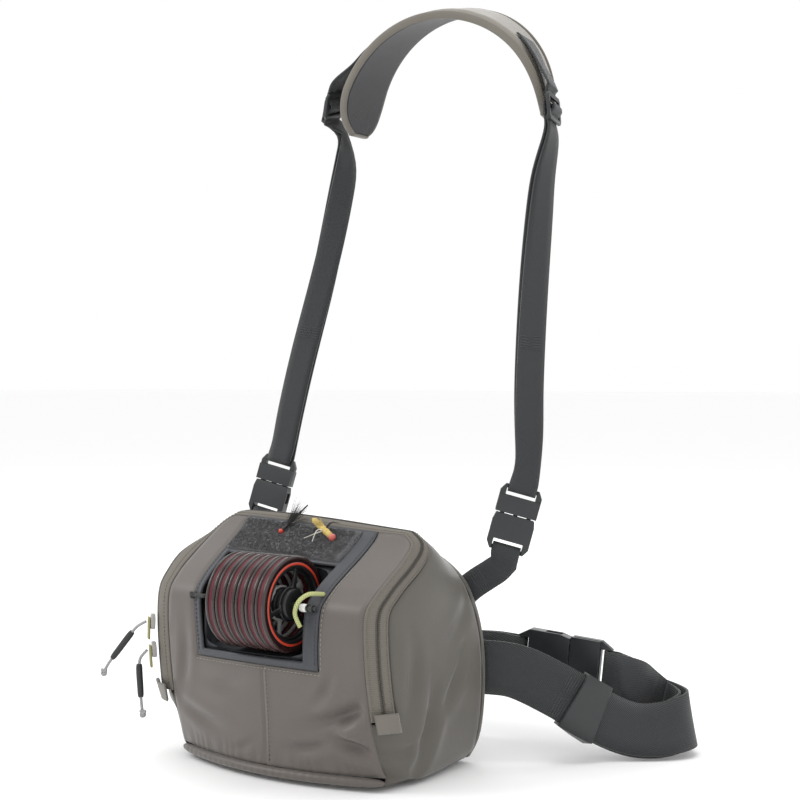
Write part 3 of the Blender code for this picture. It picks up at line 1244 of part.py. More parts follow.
def build_pulls(pack, bag, front, back, mark):
    """Two sliders on the zip's left run, each with a tab, a cord, a sleeve and an end knot."""
    half = len(front) // 2
    stations = np.arange(len(front))
    left_run = stations[(stations > half) & (mark >= 0)]
    middle = np.broadcast_to(ZIP_WIDTH / 2 + np.array([-0.5, 0.0, 0.5]) * COIL_WIDTH, (len(front), 3))
    grid = bag.side(front, back, mark, middle, ZIP_RISE + SEAM_GAP * 2 + COIL_THICK)
    over, outs = grid[:, 1], grid_normals(grid, True)[:, 1]
    for index, pull in enumerate(PULLS):
        heights = over[left_run, 2]
        order = np.argsort(heights)
        line = over[left_run][order]
        normals = outs[left_run][order]
        base = read_along(line, line[:, 2], [pull["height"] * BAG_HEIGHT])[0]
        ahead = read_along(line, line[:, 2], [pull["height"] * BAG_HEIGHT + SLIDER_LENGTH])[0]
        up = unit(ahead - base)
        normal = read_along(normals, line[:, 2], [pull["height"] * BAG_HEIGHT])[0]
        out = unit(normal - up * np.dot(normal, up))
        matrix = frame_matrix(base, up, np.cross(up, out))
        number = index + 1
        w, t, l = SLIDER_WIDTH / 2, SLIDER_THICK, SLIDER_LENGTH / 2
        outline = [(-w * 0.7, -l), (w * 0.7, -l), (w, l * 0.3), (w * 0.5, l), (-w * 0.5, l), (-w, l * 0.3)]
        lift = SEAM_GAP
        pack.add(f"zip_slider_{number}", prism("slider", outline, -lift - t, -lift), PLASTIC, matrix)
        tab = PULL_TAB_WIDTH / 2
        top = lift + t + SEAM_GAP
        plate = block("tab", (-tab, -top - PULL_TAB_THICK, -PULL_TAB_LENGTH * 0.8), (tab, -top, PULL_TAB_LENGTH * 0.2))
        pack.add(f"pull_tab_{number}", plate, OLIVE, matrix)
        start = base + out * (top + PULL_TAB_THICK + PULL_CORD_RADIUS + SEAM_GAP)
        steps = np.array(pull["cord"]) * [-1, -1, -1]
        points = smooth_curve(np.vstack([start, start + steps]), 2)
        cord_curve(pack, f"pull_cord_{number}", points, PULL_CORD_RADIUS, GREY)
        bore = PULL_CORD_RADIUS + SEAM_GAP
        low, high = start + steps[1], start + steps[3]
        length = np.linalg.norm(high - low)
        tube = [(0, bore * 1.3), (length, bore * 1.3), (length, SLEEVE_RADIUS), (0, SLEEVE_RADIUS)]
        turn = Vector(high - low).to_track_quat("X", "Z").to_matrix().to_4x4()
        pack.add(f"pull_sleeve_{number}", turned("sleeve", tube, 10), PLASTIC, Matrix.Translation(Vector(low)) @ turn)
        step = unit(points[-1] - points[-2])
        knot = KNOT_RADIUS
        ball = [(0, knot * 0.45), (0, 0.0002), (knot * 2, 0.0002), (knot * 2, knot * 0.45), (knot * 1.4, knot), (knot * 0.6, knot)]
        place = Matrix.Translation(Vector(points[-1] + step * SEAM_GAP)) @ Vector(step).to_track_quat("X", "Z").to_matrix().to_4x4()
        pack.add(f"pull_knot_{number}", turned("knot", ball, 10), GREY, place)


def build_flies(pack, bag):
    """Two flies hooked into the patch: a foam hopper and a dark streamer."""
    flies = (
        # name, place across the window, share from brow to ridge, direction, length, radius, look
        ("fly_hopper", 0.75, 0.62, (-0.86, 0.24, 0.44), HOPPER_LENGTH, HOPPER_RADIUS, FOAM),
        ("fly_streamer", 0.36, 0.62, (0.31, 0.70, 0.63), STREAMER_LENGTH, STREAMER_RADIUS, BLACK),
    )
    brow = bag.at_height(BROW_HEIGHT)
    for name, across, up, direction, length, radius, look in flies:
        at = brow + (bag.length - brow) * up
        left, right = window_edges(bag, np.array([at]))
        x = left + (right - left) * across
        patch = bag.front(x[:, None] + np.array([[-0.001, 0.001]]), np.array([at]))
        higher = bag.front(x[:, None] + np.array([[-0.001, 0.001]]), np.array([at + 0.001]))
        normal = unit(np.cross(patch[0, 1] - patch[0, 0], higher[0, 0] - patch[0, 0]))
        head = patch[0].mean(axis=0) + normal * (PATCH_THICK + SEAM_GAP * 2 + radius * 0.7)
        share = np.array([0.0, 0.08, 0.25, 0.6, 0.9, 1.0])
        widths = np.array([0.35, 0.85, 1.0, 0.9, 0.55, 0.25]) * radius
        points = head + np.array(direction) * (share * length)[:, None]
        pack.add(name, rod(name, points, widths, 8), look)


def build_foot(pack, bag, front, back):
    """The rolled band under the front panel and the padded back panel."""
    _, depth, half, bow, _, _ = bag.row(0.0)[0]
    share = np.linspace(-0.985, 0.985, 13)
    line = np.column_stack([FRONT_SHIFT + share * half, depth - bow * (1 - share**2), np.full(13, BAND_HEIGHT / 2)])
    pack.add("base_band", rod("base_band", line, BAND_HEIGHT / 2 - SEAM_GAP / 2, 8), TAUPE)

    outline = back[:, [0, 2]]
    centre = outline.mean(axis=0)
    rings = []
    for scale, depth in BACK_RINGS:
        ring = centre + (outline - centre) * scale
        rings.append(np.column_stack([ring[:, 0], np.full(len(ring), bag.back_y + SEAM_GAP + BACK_PAD * depth), ring[:, 1]]))
    count = len(outline)
    verts = np.vstack(rings)
    last = len(BACK_RINGS) - 1
    faces = [list(range(count)), [last * count + k for k in range(count)]]
    for r in range(last):
        faces += [[r * count + k, r * count + (k + 1) % count, (r + 1) * count + (k + 1) % count, (r + 1) * count + k] for k in range(count)]
    pack.add("back_panel", outward(mesh_from("back_panel", verts, faces)), SIDE_TAUPE)


def main():
    for item in list(bpy.data.objects):
        bpy.data.objects.remove(item, do_unlink=True)
    bag = Bag()
    pad = Pad(bag)
    pack = Pack(pad.apex())
    build_front(pack, bag)
    front, back, mark = build_sides(pack, bag)
    build_foot(pack, bag, front, back)
    build_spools(pack, bag)
    build_pulls(pack, bag, front, back, mark)
    build_flies(pack, bag)
    build_pad(pack, pad)
    build_harness(pack, bag, pad)
    build_belt(pack, bag)


main()
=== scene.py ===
"""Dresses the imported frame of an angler's hip pack: sewn bag, zip, line spools, webbing and flies."""

import json
import logging
import math
from dataclasses import dataclass, field
from enum import Enum
from typing import Dict, List, Optional, Sequence, Tuple, Union

import bmesh
import bpy
import numpy as np
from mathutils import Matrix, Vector
from mathutils.bvhtree import BVHTree

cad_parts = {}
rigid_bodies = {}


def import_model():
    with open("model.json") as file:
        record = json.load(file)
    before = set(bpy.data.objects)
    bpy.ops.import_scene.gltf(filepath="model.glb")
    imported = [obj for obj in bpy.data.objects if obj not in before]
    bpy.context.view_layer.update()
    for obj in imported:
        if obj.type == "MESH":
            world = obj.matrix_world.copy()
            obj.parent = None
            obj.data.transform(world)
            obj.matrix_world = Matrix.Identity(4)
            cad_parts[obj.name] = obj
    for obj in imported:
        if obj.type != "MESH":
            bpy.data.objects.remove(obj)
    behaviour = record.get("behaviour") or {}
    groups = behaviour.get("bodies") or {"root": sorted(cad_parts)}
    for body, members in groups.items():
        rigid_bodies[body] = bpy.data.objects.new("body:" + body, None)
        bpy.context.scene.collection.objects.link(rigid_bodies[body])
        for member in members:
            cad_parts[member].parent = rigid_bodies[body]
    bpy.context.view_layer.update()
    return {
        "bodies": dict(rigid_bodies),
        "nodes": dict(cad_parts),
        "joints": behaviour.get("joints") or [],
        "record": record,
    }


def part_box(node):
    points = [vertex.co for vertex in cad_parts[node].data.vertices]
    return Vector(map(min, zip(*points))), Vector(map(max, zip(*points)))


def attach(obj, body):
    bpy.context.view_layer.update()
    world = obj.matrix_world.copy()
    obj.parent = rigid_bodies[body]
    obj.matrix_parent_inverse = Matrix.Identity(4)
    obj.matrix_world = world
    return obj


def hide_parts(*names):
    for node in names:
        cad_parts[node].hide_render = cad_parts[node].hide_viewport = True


LOG = logging.getLogger("hip_pack")
Colour = Tuple[float, float, float]
ThreeArrays = Tuple[np.ndarray, np.ndarray, np.ndarray]
Faces = Sequence[Sequence[int]]
Profile = Sequence[Tuple[float, float]]
Piece = bpy.types.Object

FOOT = np.array([-0.012, -0.14076, -0.55])  # the bag's foot in the frame
PACK = "pack"  # the CAD body that carries all but the spools


def unit(vectors: np.ndarray) -> np.ndarray:
    """Vectors divided by their own length."""
    return vectors / np.maximum(np.linalg.norm(vectors, axis=-1, keepdims=True), 1e-12)


def smoothstep(value: np.ndarray) -> np.ndarray:
    """3t² - 2t³ of the value held between 0 and 1."""
    t = np.clip(value, 0.0, 1.0)
    return t * t * (3 - 2 * t)


def smooth_curve(rows: Sequence[Sequence[float]], steps: int) -> np.ndarray:
    """A Catmull-Rom curve: each span is the cubic through its two points.

    Args:
        rows: The points that the curve passes, one in each row.
        steps: Points made for each span.

    Returns:
        An array with (rows - 1) * steps + 1 rows.
    """
    points = np.asarray(rows, float)
    padded = np.vstack([2 * points[0] - points[1], points, 2 * points[-1] - points[-2]])
    t = np.linspace(0, 1, steps, endpoint=False)[None, :, None]
    a, b, c, d = (padded[i : len(padded) - 3 + i][:, None] for i in range(4))
    square, cube = 2 * a - 5 * b + 4 * c - d, 3 * b - a - 3 * c + d
    spans = 0.5 * (2 * b + (c - a) * t + square * t**2 + cube * t**3)
    return np.vstack([spans.reshape(-1, points.shape[1]), points[-1:]])


def arc_length(points: np.ndarray) -> np.ndarray:
    """The length along a line of points up to each point."""
    return np.r_[0.0, np.cumsum(np.linalg.norm(np.diff(points, axis=0), axis=1))]


def read_along(table: np.ndarray, along: np.ndarray, at: np.ndarray) -> np.ndarray:
    """Each column of the table read at places along it, by straight interpolation."""
    return np.stack([np.interp(at, along, column) for column in table.T], -1)


def tube_frames(path: np.ndarray, wish: Sequence[float] = (0.13, 0.31, 0.94)) -> ThreeArrays:
    """Unit tangents of a path, and two directions square to them, the first square to the wish."""
    tangent = unit(np.gradient(path, axis=0))
    side = unit(np.cross(np.broadcast_to(np.asarray(wish, float), tangent.shape), tangent))
    return tangent, side, np.cross(tangent, side)


# Finishes


class Field:
    """A socket in a look's node tree, with the arithmetic that the finishes are written in."""

    def __init__(self, look: "Look", socket: bpy.types.NodeSocket) -> None:
        """Keeps the look and its socket."""
        self.look = look
        self.socket = socket

    def _maths(self, operation: str, *values: "Value") -> "Field":
        """A Math node on values."""
        return self.look.node("ShaderNodeMath", {"operation": operation}, *values)

    def __add__(self, other: "Value") -> "Field":
        """self + other."""
        return self._maths("ADD", self, other)

    def __radd__(self, other: "Value") -> "Field":
        """other + self."""
        return self._maths("ADD", other, self)

    def __sub__(self, other: "Value") -> "Field":
        """self - other."""
        return self._maths("SUBTRACT", self, other)

    def __rsub__(self, other: "Value") -> "Field":
        """other - self."""
        return self._maths("SUBTRACT", other, self)

    def __mul__(self, other: "Value") -> "Field":
        """self * other."""
        return self._maths("MULTIPLY", self, other)

    def __rmul__(self, other: "Value") -> "Field":
        """other * self."""
        return self._maths("MULTIPLY", other, self)

    def __truediv__(self, other: "Value") -> "Field":
        """self / other."""
        return self._maths("DIVIDE", self, other)

    def __abs__(self) -> "Field":
        """The value without its sign."""
        return self._maths("ABSOLUTE", self)

    def wave(self, period: float) -> "Field":
        """A sine between 0 and 1 that repeats with the period, in the field's own unit."""
        return self._maths("SINE", self * (2 * math.pi / period)) * 0.5 + 0.5

    def step(self, low: float, high: float) -> "Field":
        """0 below low and 1 above high, with a smooth way between."""
        settings = {"interpolation_type": "SMOOTHSTEP"}
        return self.look.node("ShaderNodeMapRange", settings, self, low, high, 0.0, 1.0)


Value = Union[Field, float, int, Sequence[float]]


class Look:
    """One material: its Principled shader, and the single method that adds its other nodes."""

    def __init__(self, name: str) -> None:
        """Makes the material with an empty tree, a shader and an output."""
        self.material = bpy.data.materials.new(name)
        self.material.use_nodes = True
        self.tree = self.material.node_tree
        self.shader = self.tree.nodes["Principled BSDF"]

    def node(
        self,
        kind: str,
        settings: Optional[Dict[str, object]] = None,
        *values: Value,
        output: int = 0,
        sockets: Optional[Dict[Union[int, str], Value]] = None,
    ) -> Field:
        """Adds a node.

        Args:
            kind: The node's type name.
            settings: Its own settings, set before its sockets; "stops" fills a colour ramp.
            values: Values or fields for its first sockets, in order.
            output: Which output the returned field reads.
            sockets: More values or fields, by socket name or index.

        Returns:
            The field of the output.
        """
        made = self.tree.nodes.new(kind)
        for key, value in (settings or {}).items():
            if key == "stops":
                ramp = made.color_ramp.elements
                while len(ramp) < len(value):
                    ramp.new(0.5)
                for stop, (place, colour) in zip(ramp, value):
                    stop.position, stop.color = place, (*colour, 1.0)
            else:
                setattr(made, key, value)
        for key, value in [*enumerate(values), *(sockets or {}).items()]:
            self.feed(made.inputs[key], value)
        return Field(self, made.outputs[output])

    def feed(self, socket: bpy.types.NodeSocket, value: Value) -> None:
        """Links a field to a socket, or sets its number or colour."""
        if isinstance(value, Field):
            self.tree.links.new(value.socket, socket)
        elif hasattr(value, "__len__"):
            size = len(socket.default_value)
            socket.default_value = (*value, 1.0)[:size] if size == 4 and len(value) == 3 else tuple(value)
        else:
            socket.default_value = value

    def set(self, **inputs: Value) -> None:
        """Sets or links the shader's sockets, named with _ for each space."""
        for key, value in inputs.items():
            self.feed(self.shader.inputs[key.replace("_", " ")], value)

    def place(self) -> Tuple[Field, Field, Field, Field]:
        """The point on the object, and its X, Y and Z in metres."""
        point = self.node("ShaderNodeTexCoord", output=3)
        split = self.node("ShaderNodeSeparateXYZ", {}, point)
        x, y, z = (Field(self, split.socket.node.outputs[i]) for i in range(3))
        return point, x, y, z

    def run(self) -> Tuple[Field, Field]:
        """Across and along a strip or cord in metres, from its own UV map."""
        uv = self.node("ShaderNodeUVMap", {"uv_map": "run"})
        split = self.node("ShaderNodeSeparateXYZ", {}, uv)
        return Field(self, split.socket.node.outputs[0]), Field(self, split.socket.node.outputs[1])

    def noise(self, scale: float, detail: float = 2.0, point: Optional[Field] = None) -> Field:
        """Noise between 0 and 1, at about scale cells a metre."""
        at = point or self.node("ShaderNodeTexCoord", output=3)
        return self.node("ShaderNodeTexNoise", {}, sockets={"Vector": at, "Scale": scale, "Detail": detail})

    def mix(self, share: Value, first: Value, second: Value) -> Field:
        """A colour between two colours."""
        sockets = {0: share, 6: first, 7: second}
        return self.node("ShaderNodeMix", {"data_type": "RGBA"}, sockets=sockets, output=2)

    def bump(self, height: Field, depth: float, strength: float = 0.6) -> None:
        """Raises the shading by a height field of 0 to 1, depth metres high."""
        sockets = {"Strength": strength, "Distance": depth, "Height": height}
        self.set(Normal=self.node("ShaderNodeBump", {}, sockets=sockets))


def shade(colour: Colour, factor: float) -> Colour:
    """A colour made lighter or darker."""
    return tuple(min(1.0, channel * factor) for channel in colour)


@dataclass(frozen=True)
class Cloth:
    """Coated nylon in a plain weave, with a satin sheen and a slow change of shade."""

    colour: Colour
    thread: float = 0.00075
    roughness: float = 0.52
    sheen: float = 0.25
    depth: float = 0.00012

    def make(self, name: str) -> bpy.types.Material:
        """Weave: the product of two sine waves of the thread's width, over slow noise."""
        look = Look(name)
        point, x, y, z = look.place()
        weave = (x + y).wave(self.thread * 2) * (z + y * 0.35).wave(self.thread * 2)
        slow = look.noise(38.0, 3.0, point)
        fine = look.noise(900.0, 2.0, point)
        # The weave's share of the tone makes the colour darker in the dips between threads and lighter on
        # them: painted shade and painted highlight; the slow and fine noise is the cloth's own uneven tone.
        tone = slow * 0.55 + fine * 0.3 + weave * 0.25
        look.set(
            Base_Color=look.mix(tone, shade(self.colour, 0.84), shade(self.colour, 1.16)),
            Roughness=fine * 0.16 + (self.roughness - 0.08),
            Sheen_Weight=self.sheen,
            Sheen_Roughness=0.45,
        )
        look.bump(weave * 0.7 + fine * 0.5, self.depth)
        return look.material


@dataclass(frozen=True)
class Webbing:
    """Woven strap: ribs along its run, crossed by picks, with a bound edge."""

    colour: Colour
    half: float
    rib: float = 0.0011
    pick: float = 0.0009

    def make(self, name: str) -> bpy.types.Material:
        """Twill: ribs whose phase shifts along the run, times the picks that cross them."""
        look = Look(name)
        across, along = look.run()
        ribs = (across + along * 0.5).wave(self.rib)
        picks = (along - across * 0.5).wave(self.pick)
        cells = ribs * 0.6 + ribs * picks * 0.6
        edge = abs(across).step(self.half * 0.86, self.half * 0.93)
        fine = look.noise(1400.0, 2.0)
        # The tone follows the weave's height: darker in the valleys between ribs and picks and lighter on
        # their crests, painted shade and painted highlight; the fine noise is the strap's own uneven tone.
        tone = cells * 0.65 + fine * 0.3 - edge * 0.12
        look.set(
            Base_Color=look.mix(tone, shade(self.colour, 0.55), shade(self.colour, 1.55)),
            Roughness=fine * 0.15 + 0.62,
            Sheen_Weight=0.2,
        )
        look.bump(cells + fine * 0.3 - edge * 0.4, 0.00028, 0.8)
        return look.material


@dataclass(frozen=True)
class TapeCloth:
    """Zip tape: fine ribs across it, and a soft edge."""

    colour: Colour

    def make(self, name: str) -> bpy.types.Material:
        """Ribs of a millimetre along the tape, with herringbone threads between them."""
        look = Look(name)
        across, along = look.run()
        rib = along.wave(0.0012)
        thread = (across + along * 0.6).wave(0.0007)
        fine = look.noise(1100.0)
        # The tone follows the ribs and threads: darker between them and lighter on them, painted shade and
        # painted highlight; the noise is the tape's own uneven tone.
        tone = rib * 0.45 + thread * 0.2 + fine * 0.35
        look.set(
            Base_Color=look.mix(tone, shade(self.colour, 0.72), shade(self.colour, 1.2)),
            Roughness=fine * 0.1 + 0.72,
        )
        look.bump(rib * 0.8 + thread * 0.3, 0.0002, 0.7)
        return look.material


@dataclass(frozen=True)
class SpacerMesh:
    """Knitted air mesh with rows of small holes."""

    colour: Colour
    cell: float = 0.0021

    def make(self, name: str) -> bpy.types.Material:
        """Holes: where the product of two crossed waves is high."""
        look = Look(name)
        across, along = look.run()
        holes = ((across + along).wave(self.cell) * (across - along).wave(self.cell)).step(0.42, 0.62)
        fine = look.noise(1600.0)
        yarn = look.mix(fine, self.colour, shade(self.colour, 1.9))
        # The holes are a quarter of the yarn's colour: painted shade inside the holes; the yarn's noise is
        # its own uneven tone.
        look.set(
            Base_Color=look.mix(holes, yarn, shade(self.colour, 0.25)),
            Roughness=fine * 0.1 + 0.82,
            Sheen_Weight=0.3,
        )
        look.bump(fine * 0.3 + (1 - holes), 0.0006, 0.9)
        return look.material


@dataclass(frozen=True)
class Pile:
    """Heathered loop pile in two shades."""

    dark: Colour
    light: Colour

    def make(self, name: str) -> bpy.types.Material:
        """Speckle: fine noise pushed towards its two ends."""
        look = Look(name)
        point = look.place()[0]
        speckle = look.noise(1500.0, 4.0, point).step(0.4, 0.62)
        clump = look.noise(260.0, 3.0, point)
        look.set(
            Base_Color=look.mix(speckle * 0.75 + clump * 0.25, self.dark, self.light),
            Roughness=clump * 0.1 + 0.88,
            Sheen_Weight=0.5,
        )
        look.bump(speckle + clump, 0.0007, 1.0)
        return look.material


@dataclass(frozen=True)
class Moulded:
    """Moulded plastic with a fine spark-eroded grain."""

    colour: Colour
    roughness: float = 0.38
    grain: float = 0.00004
    clear: float = 0.0
    coat: float = 0.0

    def make(self, name: str) -> bpy.types.Material:
        """Grain: noise finer than half a millimetre, in the bump and the gloss."""
        look = Look(name)
        point = look.place()[0]
        grain = look.noise(2600.0, 3.0, point)
        slow = look.noise(60.0, 2.0, point)
        look.set(
            Base_Color=look.mix(slow, shade(self.colour, 0.85), shade(self.colour, 1.2)),
            Roughness=grain * 0.14 + slow * 0.1 + (self.roughness - 0.12),
            Transmission_Weight=self.clear,
            Coat_Weight=self.coat,
        )
        look.bump(grain, self.grain, 0.5)
        return look.material


@dataclass(frozen=True)
class Winding:
    """Fine line wound turn beside turn on a spool that turns about X."""

    colour: Colour

    def make(self, name: str) -> bpy.types.Material:
        """Turns: a sine along X, about half a millimetre from turn to turn."""
        look = Look(name)
        point, x, _, _ = look.place()
        turns = x.wave(0.00045)
        # The tone follows the turns: darker between turns of line and lighter on them, painted shade and
        # painted highlight; the noise is the line's own uneven tone.
        tone = turns * 0.6 + look.noise(420.0, 2.0, point) * 0.5
        look.set(
            Base_Color=look.mix(tone, shade(self.colour, 0.5), shade(self.colour, 1.4)),
            Roughness=turns * 0.15 + 0.3,
        )
        look.bump(turns, 0.0002, 0.6)
        return look.material


@dataclass(frozen=True)
class Braid:
    """Braided cord or twisted thread: two crossed helices round it."""

    colour: Colour
    radius: float
    lay: float = 0.0016
    fleck: Optional[Colour] = None

    def make(self, name: str) -> bpy.types.Material:
        """Strands: waves that climb both ways round the cord, a whole number to each turn."""
        look = Look(name)
        across, along = look.run()
        turn = 2 * math.pi * self.radius
        one = (along / self.lay + across * (4 / turn)).wave(1.0)
        two = (along / self.lay - across * (4 / turn)).wave(1.0)
        strand = one * 0.5 + two * 0.5
        # The strands' colour follows their height: darker in the grooves between strands, painted shade, and
        # lighter on their crests, painted highlight in the given crest colour, else 1.45 times the colour.
        light = self.fleck or shade(self.colour, 1.45)
        look.set(
            Base_Color=look.mix(strand, shade(self.colour, 0.6), light),
            Roughness=strand * 0.1 + 0.6,
        )
        look.bump(strand, self.radius * 0.25, 0.8)
        return look.material


class Tint(Enum):
    """The object's finishes by piece."""

    FRONT = Cloth((0.100, 0.086, 0.076), roughness=0.44)
    SIDE = Cloth((0.085, 0.078, 0.065), roughness=0.46)
    CHARCOAL = Cloth((0.040, 0.043, 0.050), thread=0.0006, roughness=0.48, sheen=0.1)
    WELL = Cloth((0.030, 0.033, 0.038), thread=0.0006, roughness=0.6, sheen=0.0)
    TAPE = TapeCloth((0.150, 0.137, 0.115))
    TAB = Cloth((0.150, 0.137, 0.116), thread=0.0009, roughness=0.7)
    COIL = Moulded((0.062, 0.056, 0.047), roughness=0.45)
    PILE = Pile((0.012, 0.013, 0.016), (0.062, 0.064, 0.072))
    STRAP = Webbing((0.020, 0.022, 0.024), half=0.010)
    BELT = Webbing((0.020, 0.022, 0.024), half=0.019, rib=0.0014, pick=0.0011)
    SLEEVE = Cloth((0.026, 0.029, 0.030), thread=0.0005, roughness=0.5, sheen=0.15)
    PLASTIC = Moulded((0.018, 0.020, 0.022))
    PAD = Cloth((0.215, 0.197, 0.168), thread=0.0008, roughness=0.62, sheen=0.35)
    BIND = Cloth((0.140, 0.128, 0.106), thread=0.0006, roughness=0.6)
    MESH = SpacerMesh((0.016, 0.016, 0.019))
    THREAD = Moulded((0.260, 0.242, 0.205), roughness=0.65)
    SEAM_THREAD = Moulded((0.070, 0.063, 0.054), roughness=0.7)
    DARK_THREAD = Moulded((0.050, 0.052, 0.055), roughness=0.6)
    KEEPER = Moulded((0.026, 0.0105, 0.0100), roughness=0.22, clear=0.15, coat=0.3)
    RING = Moulded((0.560, 0.050, 0.022), roughness=0.40, coat=0.2)
    # The printed ring's red in painted shade, for the spools that sit between others.
    DARK_RING = Moulded((0.070, 0.006, 0.009), roughness=0.35)
    # Pale grey on the spokes and rims of the spools behind the nearest: painted light seen through the
    # nearest spool's windows.
    WEB = Moulded((0.480, 0.480, 0.470), roughness=0.35, clear=0.2)
    HUB = Moulded((0.012, 0.012, 0.013), roughness=0.35)
    LINE = Winding((0.105, 0.008, 0.015))
    LIME = Braid((0.430, 0.455, 0.190), radius=0.0015)
    AXLE = Braid((0.012, 0.012, 0.013), radius=0.0015, fleck=(0.060, 0.060, 0.058))
    GREY_CORD = Braid((0.200, 0.200, 0.210), radius=0.0011, fleck=(0.520, 0.520, 0.540))
    OLIVE = Moulded((0.240, 0.230, 0.095), roughness=0.5)
    WHITE = Moulded((0.800, 0.800, 0.770), roughness=0.35)
    RUBBER = Moulded((0.016, 0.017, 0.018), roughness=0.55)
    FOAM = Moulded((0.540, 0.400, 0.120), roughness=0.7, grain=0.00015)
    HAIR = Moulded((0.020, 0.018, 0.017), roughness=0.5)
    BARRED = Moulded((0.620, 0.600, 0.520), roughness=0.5)
    PINK = Moulded((0.520, 0.110, 0.090), roughness=0.4, coat=0.4)
    STEEL = Moulded((0.350, 0.340, 0.320), roughness=0.25)


class Wardrobe:
    """Makes each finish once, when a piece first asks for it."""

    def __init__(self) -> None:
        """Starts with no material."""
        self.made: Dict[Tint, bpy.types.Material] = {}

    def get(self, tint: Tint) -> bpy.types.Material:
        """The material of a finish."""
        if tint not in self.made:
            self.made[tint] = tint.value.make(tint.name.lower())
        return self.made[tint]


# Mesh making


def cell_places(rows: int, columns: int) -> Tuple[np.ndarray, np.ndarray]:
    """The row and the column of each cell of a grid, as two flat arrays."""
    i, j = np.meshgrid(np.arange(rows), np.arange(columns), indexing="ij")
    return i.ravel(), j.ravel()


def cell_corners(
    i: np.ndarray, j: np.ndarray, right: np.ndarray, after: np.ndarray, columns: int
) -> np.ndarray:
    """The four corners of each cell, as places in the grid's flat list of points.

    Args:
        i: The cells' rows.
        j: The cells' columns.
        right: The columns after those.
        after: The rows after those.
        columns: How many points a row has.

    Returns:
        A row of four places for each cell.
    """
    low, high = i * columns, after * columns
    return np.stack([low + j, low + right, high + right, high + j], -1)


def faces_inward(flat: np.ndarray, quads: np.ndarray, middle: np.ndarray) -> bool:
    """Whether the quads, taken together, face the middle that they lie round."""
    corner = flat[quads]
    normal = np.cross(corner[:, 1] - corner[:, 0], corner[:, 3] - corner[:, 0])
    return bool(np.sum(normal * (corner.mean(axis=1) - middle)) < 0)


def end_faces(rows: int, columns: int, turned: bool) -> List[List[int]]:
    """The first and the last row of a grid that is closed across, each as one face."""
    start = list(range(columns))
    end = [(rows - 1) * columns + k for k in range(columns)]
    return [start, end[::-1]] if turned else [start[::-1], end]


def ring_quads(rings: int, sides: int) -> List[List[int]]:
    """The faces between rings of points that follow one another."""
    return [
        [r * sides + k, r * sides + (k + 1) % sides, (r + 1) * sides + (k + 1) % sides, (r + 1) * sides + k]
        for r in range(rings - 1)
        for k in range(sides)
    ]


